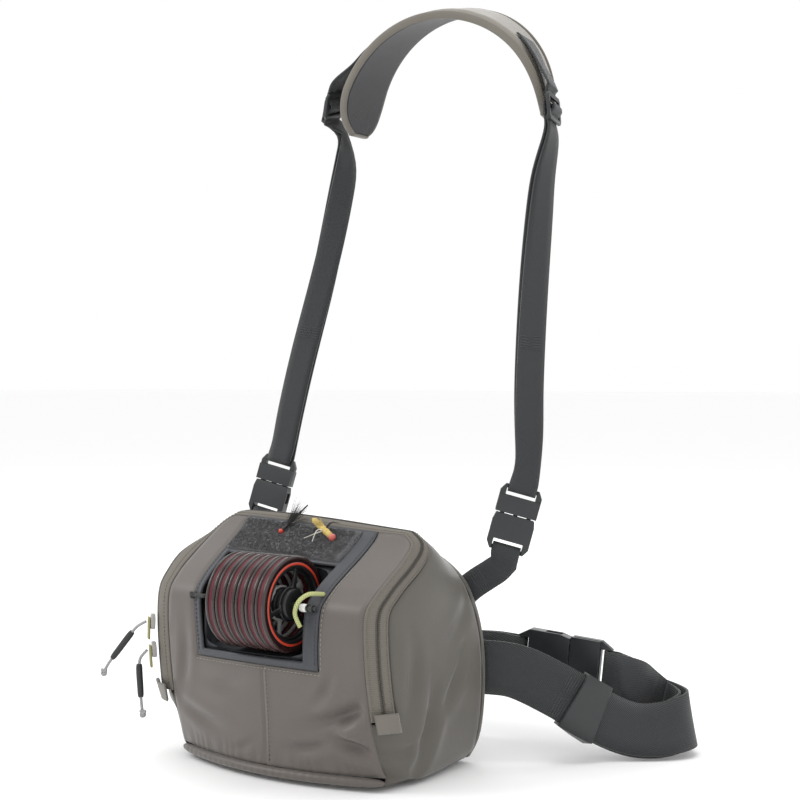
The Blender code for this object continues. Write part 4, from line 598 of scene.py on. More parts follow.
class Workshop:
    """Turns arrays of points into pieces that ride on the frame."""

    def __init__(self, frame: Dict[str, object]) -> None:
        """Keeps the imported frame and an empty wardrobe."""
        self.frame = frame
        self.wardrobe = Wardrobe()

    def finish(
        self, item: Piece, tint: Tint, body: str = PACK, nodes: Sequence[str] = (), slot: str = ""
    ) -> Piece:
        """Gives a piece its finish and its body.

        Args:
            item: The new object, at the origin.
            tint: Its finish.
            body: The CAD body that it rides on.
            nodes: The CAD nodes that it stands for.
            slot: Not used.

        Returns:
            The object.
        """
        item.data.materials.clear()
        item.data.materials.append(self.wardrobe.get(tint))
        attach(item, body)
        if nodes:
            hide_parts(*nodes)
        return item

    def mesh(
        self, name: str, verts: np.ndarray, faces: Faces, uv: Optional[np.ndarray] = None
    ) -> Piece:
        """An object from points and faces, smooth shaded, with a UV for each face corner if given."""
        data = bpy.data.meshes.new(name)
        data.from_pydata(np.asarray(verts, float).tolist(), [], [list(map(int, f)) for f in faces])
        if uv is not None:
            layer = data.uv_layers.new(name="run")
            layer.data.foreach_set("uv", np.asarray(uv, np.float32).ravel())
        data.polygons.foreach_set("use_smooth", np.ones(len(data.polygons), bool))
        data.update()
        item = bpy.data.objects.new(name, data)
        bpy.context.scene.collection.objects.link(item)
        return item

    def surface(
        self,
        name: str,
        grid: np.ndarray,
        centre: Sequence[float],
        closed: bool = False,
        keep: Optional[np.ndarray] = None,
        thickness: float = 0.0,
        uv: Optional[np.ndarray] = None,
    ) -> Piece:
        """A sheet over a grid of points, its faces turned away from the centre.

        Args:
            name: The piece's name.
            grid: Points by row and column, in the bag's own frame.
            centre: A point on the sheet's inner side.
            closed: Whether the last row joins the first.
            keep: Which cells are kept.
            thickness: How far a Solidify modifier thickens it inwards.
            uv: Across and along for each grid point, in metres.

        Returns:
            The new object.
        """
        rows, columns = grid.shape[:2]
        cell_rows = rows if closed else rows - 1
        i, j = cell_places(cell_rows, columns - 1)
        if keep is not None:
            wanted = keep[:cell_rows].ravel()
            i, j = i[wanted], j[wanted]
        quads = cell_corners(i, j, j + 1, (i + 1) % rows, columns)
        flat = grid.reshape(-1, 3)
        if faces_inward(flat, quads, np.asarray(centre, float)):
            quads = quads[:, ::-1]
        loops = None if uv is None else uv.reshape(-1, 2)[quads]
        used, quads = np.unique(quads, return_inverse=True)
        item = self.mesh(name, flat[used] + FOOT, quads.reshape(-1, 4), loops)
        if thickness:
            wall = item.modifiers.new("wall", "SOLIDIFY")
            wall.thickness, wall.offset, wall.use_even_offset = thickness, -1.0, True
        return item

    def sweep(
        self,
        name: str,
        path: np.ndarray,
        outline: np.ndarray,
        side: np.ndarray,
        up: np.ndarray,
        scale: Optional[np.ndarray] = None,
        ring: bool = False,
    ) -> Piece:
        """An outline carried along a path: point + side * a + up * b for each (a, b) of the outline.

        Args:
            name: The piece's name.
            path: Points of the path, in the bag's own frame.
            outline: The closed outline's points.
            side: The outline's first direction at each path point.
            up: Its second direction.
            scale: A size for the outline at each path point.
            ring: Whether the path closes on itself.

        Returns:
            The new object, with across and along in its UV map.
        """
        size = np.ones(len(path)) if scale is None else np.asarray(scale, float)
        a, b = outline[:, 0][None, :, None], outline[:, 1][None, :, None]
        grid = path[:, None] + (side[:, None] * a + up[:, None] * b) * size[:, None, None]
        rows, columns = grid.shape[:2]
        i, j = cell_places(rows if ring else rows - 1, columns)
        quads = cell_corners(i, j, (j + 1) % columns, (i + 1) % rows, columns)
        round_ = arc_length(np.vstack([outline, outline[:1]]))
        run = np.r_[arc_length(path), 0]
        run[-1] = run[-2] + np.linalg.norm(path[-1] - path[0])
        corners = ((j, i), (j + 1, i), (j + 1, i + 1), (j, i + 1))
        loops = np.stack([np.stack([round_[over], run[up_to]], -1) for over, up_to in corners], 1)
        flat = grid.reshape(-1, 3)
        turned = faces_inward(flat, quads, path[i])
        if turned:
            quads, loops = quads[:, ::-1], loops[:, ::-1]
        faces, uv = quads.tolist(), loops.reshape(-1, 2)
        if not ring:
            faces += end_faces(rows, columns, turned)
            uv = np.vstack([uv, np.zeros((2 * columns, 2))])
        return self.mesh(name, flat + FOOT, faces, uv)

    def tube(
        self,
        name: str,
        path: np.ndarray,
        radius: Union[float, np.ndarray],
        sides: int = 12,
        ring: bool = False,
    ) -> Piece:
        """A round tube along a path, with a radius for each point or for all."""
        angle = np.linspace(0, 2 * math.pi, sides, endpoint=False)
        widest = float(np.max(radius))
        circle = np.column_stack([np.cos(angle), np.sin(angle)]) * widest
        _, side, up = tube_frames(path)
        scale = np.broadcast_to(np.asarray(radius, float) / widest, (len(path),))
        return self.sweep(name, path, circle, side, up, scale, ring)

    def scatter(
        self, name: str, verts: np.ndarray, faces: Faces, origins: np.ndarray, frames: np.ndarray
    ) -> Piece:
        """One small shape repeated: origin + frame · point, for every origin and frame at once.

        Args:
            name: The piece's name.
            verts: The small shape's points.
            faces: Its faces.
            origins: A place for each repeat, in the bag's own frame.
            frames: For each repeat, three rows that X, Y and Z become.

        Returns:
            The new object.
        """
        points = origins[:, None] + np.einsum("kc,ncd->nkd", verts, frames)
        shift = np.arange(len(origins))[:, None] * len(verts)
        every = [row for face in faces for row in (np.asarray(face)[None] + shift).tolist()]
        return self.mesh(name, points.reshape(-1, 3) + FOOT, every)

    def copy_of(self, node: str, levels: int = 2, sharp: float = 38.0, bevel: float = 0.0) -> Piece:
        """A smoothed copy of a CAD node: welded, its triangles paired, its sharp edges creased.

        Args:
            node: The CAD node.
            levels: Subdivision levels, or 0 for none.
            sharp: Edges that turn by more degrees than this stay sharp.
            bevel: The width of a bevel on the sharp edges, or 0.

        Returns:
            The new object, which still needs its finish.
        """
        data = self.frame["nodes"][node].data.copy()
        work = bmesh.new()
        work.from_mesh(data)
        bmesh.ops.remove_doubles(work, verts=work.verts, dist=1e-6)
        limit = math.radians(40 if levels else 4)
        bmesh.ops.join_triangles(
            work, faces=work.faces, angle_face_threshold=limit, angle_shape_threshold=math.radians(60)
        )
        if not levels:
            bmesh.ops.dissolve_limit(work, angle_limit=math.radians(2), verts=work.verts, edges=work.edges)
        crease = work.edges.layers.float.new("crease_edge")
        for edge in work.edges:
            edge[crease] = 1.0 if edge.calc_face_angle(math.pi) > math.radians(sharp) else 0.0
        for face in work.faces:
            face.smooth = True
        work.to_mesh(data)
        work.free()
        data.name = f"{node}_skin"
        item = bpy.data.objects.new(f"{node}_skin", data)
        bpy.context.scene.collection.objects.link(item)
        if bevel:
            edge = item.modifiers.new("edge", "BEVEL")
            edge.width, edge.segments = bevel, 3
            edge.limit_method, edge.angle_limit = "ANGLE", math.radians(30)
            edge.harden_normals = True
        if levels:
            smooth = item.modifiers.new("smooth", "SUBSURF")
            smooth.levels = smooth.render_levels = levels
        return item

    def stitches(
        self,
        name: str,
        path: np.ndarray,
        normals: np.ndarray,
        tint: Tint = Tint.THREAD,
        pitch: float = 0.0030,
        length: float = 0.0023,
        radius: float = 0.00034,
        slot: str = "",
    ) -> Piece:
        """A row of lockstitches along a path on a surface.

        Args:
            name: The piece's name.
            path: Points on the surface, in the bag's own frame.
            normals: The surface's normals there.
            tint: The thread's finish.
            pitch: From one stitch to the next.
            length: A stitch's own length.
            radius: The thread's radius.
            slot: The record's material slot, if it has one.

        Returns:
            The new object.
        """
        along = arc_length(path)
        at = np.arange(pitch / 2, along[-1], pitch)
        place = read_along(path, along, at)
        out = unit(read_along(normals, along, at))
        ahead = unit(read_along(path, along, at + pitch * 0.3) - read_along(path, along, at - pitch * 0.3))
        sideways = unit(np.cross(out, ahead))
        verts, faces = capsule(length, radius)
        frames = np.stack([ahead, sideways, np.cross(ahead, sideways)], 1)
        item = self.scatter(name, verts, faces, place + out * radius * 0.15, frames)
        return self.finish(item, tint, slot=slot)


def capsule(length: float, radius: float, sides: int = 6) -> Tuple[np.ndarray, List[List[int]]]:
    """A thin spindle along X whose ends dip below the surface, as a stitch does.

    Args:
        length: Its length.
        radius: Its radius at the middle.
        sides: Points round it.

    Returns:
        Its points and faces.
    """
    place = np.array([-0.5, -0.3, 0.0, 0.3, 0.5]) * length
    size = np.array([0.45, 0.9, 1.0, 0.9, 0.45]) * radius
    drop = np.array([-1.0, -0.1, 0.12, -0.1, -1.0]) * radius
    angle = np.linspace(0, 2 * math.pi, sides, endpoint=False)
    y = np.cos(angle)[None] * size[:, None]
    z = np.sin(angle)[None] * size[:, None] + drop[:, None]
    verts = np.stack([np.broadcast_to(place[:, None], y.shape), y, z], -1).reshape(-1, 3)
    faces = ring_quads(len(place), sides) + end_faces(len(place), sides, False)
    return verts, [face[::-1] for face in faces]


# The bag


@dataclass
class BagForm:
    """The bag's sewn form: its front profile, and the strip between front and back seams."""

    width: float = 0.180
    back_width: float = 0.202
    height: float = 0.162
    depth: float = 0.117
    front_share: float = 0.573
    shift: float = -0.003
    band: float = 0.0056
    side_bulge: float = 0.0058
    left_bulge: float = 0.0215
    crest_bulge: float = 0.0045
    left_lift: float = 0.006
    crown: float = 0.049
    gap: float = 0.0003
    window_foot: float = 0.075
    window_left: float = 0.060
    window_right: float = 0.048
    window_flare: float = 0.007
    rows: Tuple[Tuple[float, ...], ...] = (
        # height, depth, front half, front bow, back height, back half, as shares of the sizes
        (0.037, -0.393, 1.010, 0.170, 0.006, 0.871),
        (0.093, -0.430, 0.995, 0.130, 0.062, 0.941),
        (0.247, -0.500, 0.980, 0.070, 0.222, 0.990),
        (0.444, -0.548, 0.970, 0.045, 0.395, 1.000),
        (0.617, -0.568, 0.968, 0.035, 0.531, 0.985),
        (0.722, -0.553, 0.968, 0.035, 0.605, 0.960),
        (0.784, -0.470, 0.975, 0.035, 0.654, 0.936),
        (0.827, -0.385, 0.978, 0.030, 0.691, 0.911),
        (0.907, -0.205, 0.975, 0.020, 0.765, 0.851),
        (0.963, -0.094, 0.950, 0.015, 0.833, 0.752),
        (1.000, -0.052, 0.850, 0.010, 0.883, 0.614),
    )

    def __post_init__(self) -> None:
        """Works out the smooth profile and its length."""
        scale = [self.height, self.depth, self.width / 2, self.depth, self.height, self.back_width / 2]
        self.dense = smooth_curve(np.array(self.rows) * scale, 6)
        self.along = arc_length(self.dense[:, :2])
        self.length = float(self.along[-1])
        self.back_y = (1 - self.front_share) * self.depth

    def row(self, at: Union[float, np.ndarray]) -> np.ndarray:
        """Height, depth, front half, bow, back height and back half at places up the profile."""
        return read_along(self.dense, self.along, np.atleast_1d(at))

    def at_height(self, height: Union[float, np.ndarray]) -> np.ndarray:
        """The place up the profile at a height."""
        return np.interp(height, self.dense[:, 0], self.along)

    def lift(self, x: np.ndarray, z: np.ndarray) -> np.ndarray:
        """The extra height of the soft top towards the left."""
        return self.left_lift * smoothstep((z / self.height - 0.6) / 0.4) * smoothstep(-x / self.width + 0.5)

    def front(self, x: np.ndarray, at: np.ndarray) -> np.ndarray:
        """Points of the front: depth less a parabola's bow across, at each x and place up."""
        height, depth, half, bow = np.moveaxis(self.row(at)[..., :4], -1, 0)
        across = np.clip((x - self.shift) / half, -1, 1)
        return np.stack([x, depth - bow * (1 - across**2), height + self.lift(x, height)], -1)

    def front_normals(self, x: np.ndarray, at: np.ndarray) -> np.ndarray:
        """Outward normals of the front, from small steps across and up."""
        small = 1e-4
        over = self.front(x + small, at) - self.front(x - small, at)
        rise = self.front(x, at + small) - self.front(x, at - small)
        return unit(np.cross(over, rise))

    def stations(self, side_steps: int = 72, base_steps: int = 12, top_steps: int = 24) -> ThreeArrays:
        """The loop round the bag: front and back points, and the place up the profile of each.

        Args:
            side_steps: Stations up each side.
            base_steps: Stations on half of the base.
            top_steps: Stations on half of the top.

        Returns:
            Front points, back points and marks; a mark of -1 is on the base.
        """
        first, last = self.row(0.0), self.row(self.length)
        share = np.r_[
            np.linspace(0, 0.96, base_steps), np.ones(side_steps), np.linspace(1, 0, top_steps + 1)[1:]
        ]
        at = np.linspace(0, self.length, side_steps)
        table = np.vstack([np.repeat(first, base_steps, 0), self.row(at), np.repeat(last, top_steps, 0)])
        mark = np.r_[-np.ones(base_steps), at, np.full(top_steps, self.length)]
        height, depth, half, bow, back_height, back_half = table.T
        base, top = mark < 0, np.arange(len(mark)) >= base_steps + side_steps
        front = np.column_stack([share * half, depth - bow * (1 - share**2), height])
        front[base, 1] += self.band * 0.7
        front[base, 2] = 0.0
        rise = np.where(top, self.crown * self.height * (1 - share**2), 0.0)
        back = np.column_stack([share * back_half, np.full(len(mark), self.back_y), back_height + rise])
        back[base, 2] = 0.0
        mirror = np.array([-1, 1, 1])
        front = np.vstack([front, front[-2:0:-1] * mirror])
        back = np.vstack([back, back[-2:0:-1] * mirror])
        mark = np.r_[mark, mark[-2:0:-1]]
        front[:, 0] += self.shift
        front[:, 2] += self.lift(front[:, 0], front[:, 2])
        back[:, 2] += self.lift(back[:, 0], back[:, 2])
        return front, back, mark

    def side(
        self, loop: ThreeArrays, distance: np.ndarray, rise: Union[float, np.ndarray] = 0.0
    ) -> np.ndarray:
        """Points on the strip from front to back seam: the straight span plus a sine's swell.

        Args:
            loop: Front points, back points and marks.
            distance: Distances from the front edge, a row for each station.
            rise: How far the points stand off the strip.

        Returns:
            A grid of points.
        """
        front, back, mark = loop
        span = back - front
        share = distance / np.linalg.norm(span, axis=1)[:, None]
        ring = np.roll(front + back, -1, axis=0) - np.roll(front + back, 1, axis=0)
        out = unit(np.cross(span, ring))
        out = unit(out + np.roll(out, 1, axis=0) + np.roll(out, -1, axis=0))
        top = smoothstep((front[:, 2] / self.height - 0.85) / 0.15)
        left = smoothstep(0.5 - front[:, 0] / self.width) * smoothstep(front[:, 2] / self.height / 0.25)
        swell = self.side_bulge + (self.left_bulge - self.side_bulge) * left
        swell = np.where(mark < 0, 0.0, swell + (self.crest_bulge - swell) * top)[:, None]
        early = 1 - (1 - np.clip(share, 0, 1)) ** (1.5 + 1.8 * left)[:, None]
        bow = np.sin(math.pi * early) * swell
        grid = front[:, None] + span[:, None] * share[..., None] + out[:, None] * bow[..., None]
        return grid + self.grid_normals(grid) * np.broadcast_to(rise, distance.shape)[..., None]

    def grid_normals(self, grid: np.ndarray) -> np.ndarray:
        """Outward normals of the closed strip's grid."""
        around = np.roll(grid, -1, axis=0) - np.roll(grid, 1, axis=0)
        return unit(np.cross(np.gradient(grid, axis=1), around))

    def window_edges(self, at: np.ndarray) -> Tuple[np.ndarray, np.ndarray]:
        """x of the window's left and right edges at places up the profile."""
        above = (self.row(at)[..., 0] - self.window_foot) / (self.height - self.window_foot)
        flare = self.window_flare * smoothstep(above)
        return -(self.window_left + flare), self.window_right + flare * 0.6


def spread(start: np.ndarray, end: np.ndarray, steps: int) -> np.ndarray:
    """Columns from start to end, arrays with a value for each row."""
    share = np.linspace(0, 1, steps + 1)
    return start[:, None] * (1 - share) + end[:, None] * share


@dataclass
class Bag:
    """The sewn bag: front and side panels, window frame, patch, zip and foot."""

    shop: Workshop
    form: BagForm = field(default_factory=BagForm)
    fabric: float = 0.0018
    zip_width: float = 0.020
    coil_width: float = 0.0048
    brow_height: float = 0.140
    left_band: float = 0.007
    right_band: float = 0.012
    sill: float = 0.006
    zip_end: float = 0.043
    centre: Tuple[float, float, float] = (0.0, 0.0, 0.07)  # a point inside the bag
    folds: Tuple[Tuple[float, ...], ...] = (
        # x, z, half length, half width, lean in degrees, depth of soft creases in the front
        (0.064, 0.046, 0.024, 0.0064, 24.0, 0.0058),
        (0.070, 0.027, 0.018, 0.0056, -18.0, 0.0052),
        (0.036, 0.022, 0.018, 0.0046, 12.0, 0.0021),
        (0.052, 0.062, 0.014, 0.0044, 52.0, 0.0018),
        (-0.060, 0.030, 0.022, 0.0056, -14.0, 0.0022),
        (-0.034, 0.058, 0.020, 0.0064, 8.0, 0.0015),
        (-0.074, 0.070, 0.026, 0.0054, 78.0, 0.0019),
        (-0.020, 0.016, 0.012, 0.0034, 20.0, 0.0009),
    )
    creases: Tuple[Tuple[float, ...], ...] = (
        # y, z, half length, half width, lean in degrees, depth of soft creases in the right side
        (-0.010, 0.034, 0.030, 0.0070, 74.0, 0.0050),
        (0.018, 0.060, 0.026, 0.0060, 52.0, 0.0029),
        (-0.026, 0.070, 0.024, 0.0064, 84.0, 0.0025),
        (0.030, 0.100, 0.022, 0.0062, 38.0, 0.0020),
        (-0.030, 0.022, 0.014, 0.0050, 18.0, 0.0026),
    )

    def dents(self, a: np.ndarray, b: np.ndarray, table: Sequence[Sequence[float]]) -> np.ndarray:
        """Depth of soft creases: long Gaussian hollows, each with a small swell on both sides."""
        total = np.zeros(a.shape)
        for x, z, long, wide, lean, depth in table:
            turn = math.radians(lean)
            u = (a - x) * math.cos(turn) + (b - z) * math.sin(turn)
            v = -(a - x) * math.sin(turn) + (b - z) * math.cos(turn)
            v = v - 0.12 * u**2 / long
            shape = (1 - 1.1 * (v / wide) ** 2) * np.exp(-0.6 * (v / wide) ** 2)
            total += depth * shape * np.exp(-((u / long) ** 2) * 1.4)
        return total

    def build(self) -> None:
        """Makes every piece of the bag."""
        self.build_front()
        self.build_frame()
        self.build_patch()
        self.build_sides()
        self.build_zip()
        self.build_foot()
        self.dress_nodes()

    def build_front(self) -> None:
        """The front panel: soft creases, a pillowed edge and a felled centre seam."""
        form, gap = self.form, self.form.gap
        base = float(form.at_height(form.window_foot))
        lower, upper = np.linspace(gap, base, 52), np.linspace(base, form.length - gap, 56)[1:]
        at = np.r_[lower, upper]
        left, right = form.window_edges(at)
        half = form.row(at)[:, 2] - gap
        edges = (form.shift - half, left, right, form.shift + half)
        counts = (20, 64, 24)
        spans = [spread(a, b, n) for a, b, n in zip(edges, edges[1:], counts)]
        x = np.hstack([spans[0], spans[1][:, 1:], spans[2][:, 1:]])
        keep = np.ones((len(at) - 1, x.shape[1] - 1), bool)
        keep[len(lower) - 1 :, counts[0] : counts[0] + counts[1]] = False
        places = np.broadcast_to(at[:, None], x.shape)
        points, normals = form.front(x, places), form.front_normals(x, places)
        rim = np.minimum(half[:, None] - np.abs(x - form.shift), places)
        rim = np.minimum(rim, form.length - places)
        window = np.where(
            places > base, np.minimum(np.abs(x - left[:, None]), np.abs(x - right[:, None])), base - places
        )
        beside = (x < left[:, None]) | (x > right[:, None])
        window = np.where((places <= base) & beside, 0.02, np.abs(window))
        soft = smoothstep(rim / 0.010) * smoothstep(np.minimum(rim, window) / 0.006)
        seam = np.exp(-(((x - 0.001) / 0.0008) ** 2)) * 0.0012 * (places < base)
        fell = np.exp(-(((x - 0.0036) / 0.0022) ** 2)) * 0.0005 * (places < base)
        pucker = 0.00035 * np.sin(x * 760 + 2 * np.sin(x * 190))
        pucker = pucker * smoothstep(1 - places / 0.020) * smoothstep(places / 0.003)
        depth = self.dents(x, points[..., 2], self.folds) * soft
        pillow = 0.0009 * (1 - smoothstep(np.minimum(rim, window) / 0.0035))
        points = points + normals * (fell - seam - depth + pucker - pillow)[..., None]
        item = self.shop.surface("front_cloth", points, self.centre, keep=keep, thickness=self.fabric * 0.7)
        self.shop.finish(item, Tint.FRONT, nodes=["front_panel"])
        line = np.linspace(0.004, base - 0.004, 80)
        spot = np.full(len(line), 0.0042)
        path, out = form.front(spot, line), form.front_normals(spot, line)
        self.shop.stitches("centre_stitches", path + out * 0.0004, out, Tint.SEAM_THREAD, radius=0.00024)

    def build_frame(self) -> None:
        """The charcoal window frame, its folded inner edge and its light stitches."""
        form, gap = self.form, self.form.gap
        base = float(form.at_height(form.window_foot))
        brow = float(form.at_height(self.brow_height))
        sill = base + self.sill
        sill_rows, hole_rows, brow_rows = 7, 48, 26
        left_cells, hole_cells, right_cells = 7, 48, 10
        at = np.r_[
            np.linspace(base + gap, sill, sill_rows),
            np.linspace(sill, brow, hole_rows)[1:],
            np.linspace(brow, form.length - gap, brow_rows)[1:],
        ]
        left, right = form.window_edges(at)
        left, right = left + gap, right - gap
        inner_left, inner_right = left + self.left_band, right - self.right_band
        x = np.hstack([
            spread(left, inner_left, left_cells),
            spread(inner_left, inner_right, hole_cells)[:, 1:],
            spread(inner_right, right, right_cells)[:, 1:],
        ])
        keep = np.ones((len(at) - 1, x.shape[1] - 1), bool)
        first = sill_rows - 1
        keep[first : first + hole_rows - 1, left_cells : left_cells + hole_cells] = False
        places = np.broadcast_to(at[:, None], x.shape)
        edge = np.minimum(np.minimum(x - left[:, None], right[:, None] - x), places - base)
        hole_x = np.maximum(np.maximum(inner_left[:, None] - x, x - inner_right[:, None]), 0)
        hole_z = np.maximum(np.maximum(sill - places, places - brow), 0)
        hole = np.hypot(hole_x, hole_z)
        rise = 0.0004 - 0.0008 * (1 - smoothstep(edge / 0.002))
        rise = rise + 0.0008 * np.exp(-(((hole - 0.0016) / 0.0012) ** 2)) - 0.0006 * (hole < 1e-6)
        points = form.front(x, places) + form.front_normals(x, places) * rise[..., None]
        item = self.shop.surface("window_trim", points, self.centre, keep=keep, thickness=0.0014)
        self.shop.finish(item, Tint.CHARCOAL, nodes=["window_frame"])
        low, high = base - 0.0022, form.length - 0.003
        rows = np.linspace(low, brow, 90)
        r_edge = form.window_edges(np.maximum(rows, base))[1]
        lines = {
            "right": (r_edge + 0.0022, rows),
            "sill": (np.linspace(-0.0618, 0.0498, 90), np.full(90, low)),
        }
        for name, (spot, line) in lines.items():
            path, out = form.front(spot, line), form.front_normals(spot, line)
            self.shop.stitches(f"window_stitches_{name}", path - out * 0.00005, out, pitch=0.0032)
        rows = np.linspace(sill - 0.002, high, 120)
        l_edge, r_edge = form.window_edges(rows)
        for name, spot in (("left", l_edge + 0.0022), ("right", r_edge - 0.0024)):
            path, out = form.front(spot, rows), form.front_normals(spot, rows)
            line = path + out * 0.0005
            self.shop.stitches(f"trim_stitches_{name}", line, out, Tint.DARK_THREAD, radius=0.00028)

    def build_patch(self) -> None:
        """The fly patch: a pile sheet over the slanted brow, with loose loops standing out of it."""
        form = self.form
        brow = float(form.at_height(self.brow_height))
        rows, cells = 40, 60
        at = np.linspace(brow + 0.0035, form.length - 0.00175, rows)
        left, right = form.window_edges(at)
        x = spread(left + self.left_band * 0.5, right - self.right_band, cells)
        places = np.broadcast_to(at[:, None], x.shape)
        beside = np.minimum(x - x[:, :1], x[:, -1:] - x)
        edge = np.minimum(beside, np.minimum(places - at[0], at[-1] - places))
        lumps = 0.00025 * np.sin(x * 2100 + 3 * np.sin(places * 900)) * np.sin(places * 1900)
        rise = 0.0008 + 0.0019 * smoothstep(edge / 0.003) + lumps
        normals = form.front_normals(x, places)
        points = form.front(x, places) + normals * rise[..., None]
        item = self.shop.surface("patch_pile", points, self.centre, thickness=0.0016)
        self.shop.finish(item, Tint.PILE, nodes=["fly_patch"])
        rng = np.random.default_rng(7)
        count = 3200
        row, column = rng.uniform(1, rows - 2, count), rng.uniform(1, cells - 2, count)
        i, j = row.astype(int), column.astype(int)
        origin, out = points[i, j], normals[i, j]
        across = unit(points[i, j + 1] - points[i, j])
        origin = origin + across * (column - j)[:, None] * 0.0016
        origin = origin + (points[i + 1, j] - points[i, j]) * (row - i)[:, None]
        angle = rng.uniform(0, 2 * math.pi, count)[:, None]
        lean = np.cross(out, across) * np.sin(angle) + across * np.cos(angle)
        size = rng.uniform(0.7, 1.25, count)[:, None, None]
        verts, faces = self.loop_shape()
        frames = np.stack([lean, np.cross(out, lean), out], 1) * size
        loops = self.shop.scatter("patch_loops", verts, faces, origin, frames)
        self.shop.finish(loops, Tint.PILE, slot="fly_patch")

    @staticmethod
    def loop_shape() -> Tuple[np.ndarray, List[List[int]]]:
        """One small loop of yarn: half an ellipse swept with a triangle."""
        rings, sides = 6, 3
        t = np.linspace(0, math.pi, rings)
        path = np.column_stack([np.cos(t) * 0.0007, np.zeros(rings), np.sin(t) * 0.0010 - 0.0001])
        _, side, up = tube_frames(path, (0.0, 1.0, 0.0))
        angle = np.linspace(0, 2 * math.pi, sides, endpoint=False)
        ring = side[:, None] * np.cos(angle)[None, :, None] + up[:, None] * np.sin(angle)[None, :, None]
        verts = (path[:, None] + ring * 0.00014).reshape(-1, 3)
        return verts, ring_quads(rings, sides)

    def build_sides(self) -> None:
        """Sides, top and base in one strip, with soft creases and a pillowed seam at each edge."""
        form, gap = self.form, self.form.gap
        loop = form.stations()
        front, back, mark = loop
        length = np.linalg.norm(back - front, axis=1)
        start = float(form.at_height(self.zip_end))
        zipped = mark >= start
        inside = spread(np.full(len(front), self.zip_width), length - gap, 40)
        columns = np.hstack([np.full((len(front), 1), gap), inside])
        keep = np.ones((len(front), columns.shape[1] - 1), bool)
        keep[zipped & np.roll(zipped, -1), 0] = False
        grid = form.side(loop, columns)
        normals = form.grid_normals(grid)
        edge = np.minimum(columns - self.zip_width, (length - gap)[:, None] - columns)
        edge = np.where(zipped[:, None], edge, np.minimum(columns, (length - gap)[:, None] - columns))
        soft = smoothstep(edge / 0.010)
        right = (grid[..., 0] > 0) & (mark[:, None] >= 0)
        dent = self.dents(grid[..., 1], grid[..., 2], self.creases) * np.where(right, 1.0, -0.55)
        on_side = (mark[:, None] >= 0) * smoothstep((form.length - mark[:, None]) / 0.03)
        pillow = 0.0009 * (1 - smoothstep(np.maximum(edge, 0) / 0.0035)) * (mark[:, None] >= 0)
        ripple = 0.0005 * np.sin(grid[..., 0] * 150 + 1.3 * np.sin(grid[..., 1] * 120))
        ripple = ripple * (1 - on_side) * (mark[:, None] > 0)
        grid = grid + normals * (-dent * soft * on_side - pillow + ripple * soft)[..., None]
        grid[..., 2] = np.maximum(grid[..., 2], 0.0002)
        item = self.shop.surface(
            "side_cloth", grid, self.centre, closed=True, keep=keep, thickness=self.fabric * 0.6
        )
        self.shop.finish(item, Tint.SIDE, nodes=["side_shell"])
        run = np.nonzero(zipped)[0]
        line = self.zip_width + 0.0030 + np.array([-0.002, 0.0, 0.002])
        strip = form.side(loop, np.broadcast_to(line, (len(front), 3)))
        out = form.grid_normals(strip)[run, 1]
        self.shop.stitches("zip_stitches_rear", strip[run, 1] - out * 0.0005, out, Tint.TAB, radius=0.00026)

    def build_zip(self) -> None:
        """Two ribbed tapes, a row of coil teeth and the covers of the zip's ends."""
        form, gap = self.form, self.form.gap
        loop = form.stations(side_steps=110)
        front, _, mark = loop
        run = np.nonzero(mark >= float(form.at_height(self.zip_end)) + 0.0005)[0]
        middle = self.zip_width / 2
        centre_line = form.side(loop, np.broadcast_to(middle, (len(front), 3)) + np.array([-0.002, 0, 0.002]))
        along = arc_length(centre_line[run, 1])
        tapes = (("front", gap, middle - 0.0003), ("rear", middle + 0.0003, self.zip_width - gap))
        for name, low, high in tapes:
            distance = np.broadcast_to(np.linspace(low, high, 11), (len(front), 11))
            inner = np.minimum(distance, self.zip_width - distance)
            rise = 0.0012 * smoothstep(inner / (self.zip_width * 0.3))
            rise = rise - 0.0005 * (1 - smoothstep(inner / 0.0015))
            grid = form.side(loop, distance, rise)[run]
            uv = np.stack([distance[run], np.broadcast_to(along[:, None], distance[run].shape)], -1)
            item = self.shop.surface(f"tape_{name}", grid, self.centre, thickness=0.0012, uv=uv)
            self.shop.finish(item, Tint.TAPE, nodes=[f"zip_tape_{name}"])
            seam = low + 0.0022 if name == "front" else high - 0.0022
            spots = np.broadcast_to(seam + np.array([-0.001, 0, 0.001]), (len(front), 3))
            strip = form.side(loop, spots, 0.0007)
            out = form.grid_normals(strip)[run, 1]
            line = strip[run, 1]
            self.shop.stitches(
                f"tape_stitches_{name}", line, out, Tint.TAB, pitch=0.0027, length=0.002, radius=0.00024
            )
        self.build_teeth(loop, run, middle)

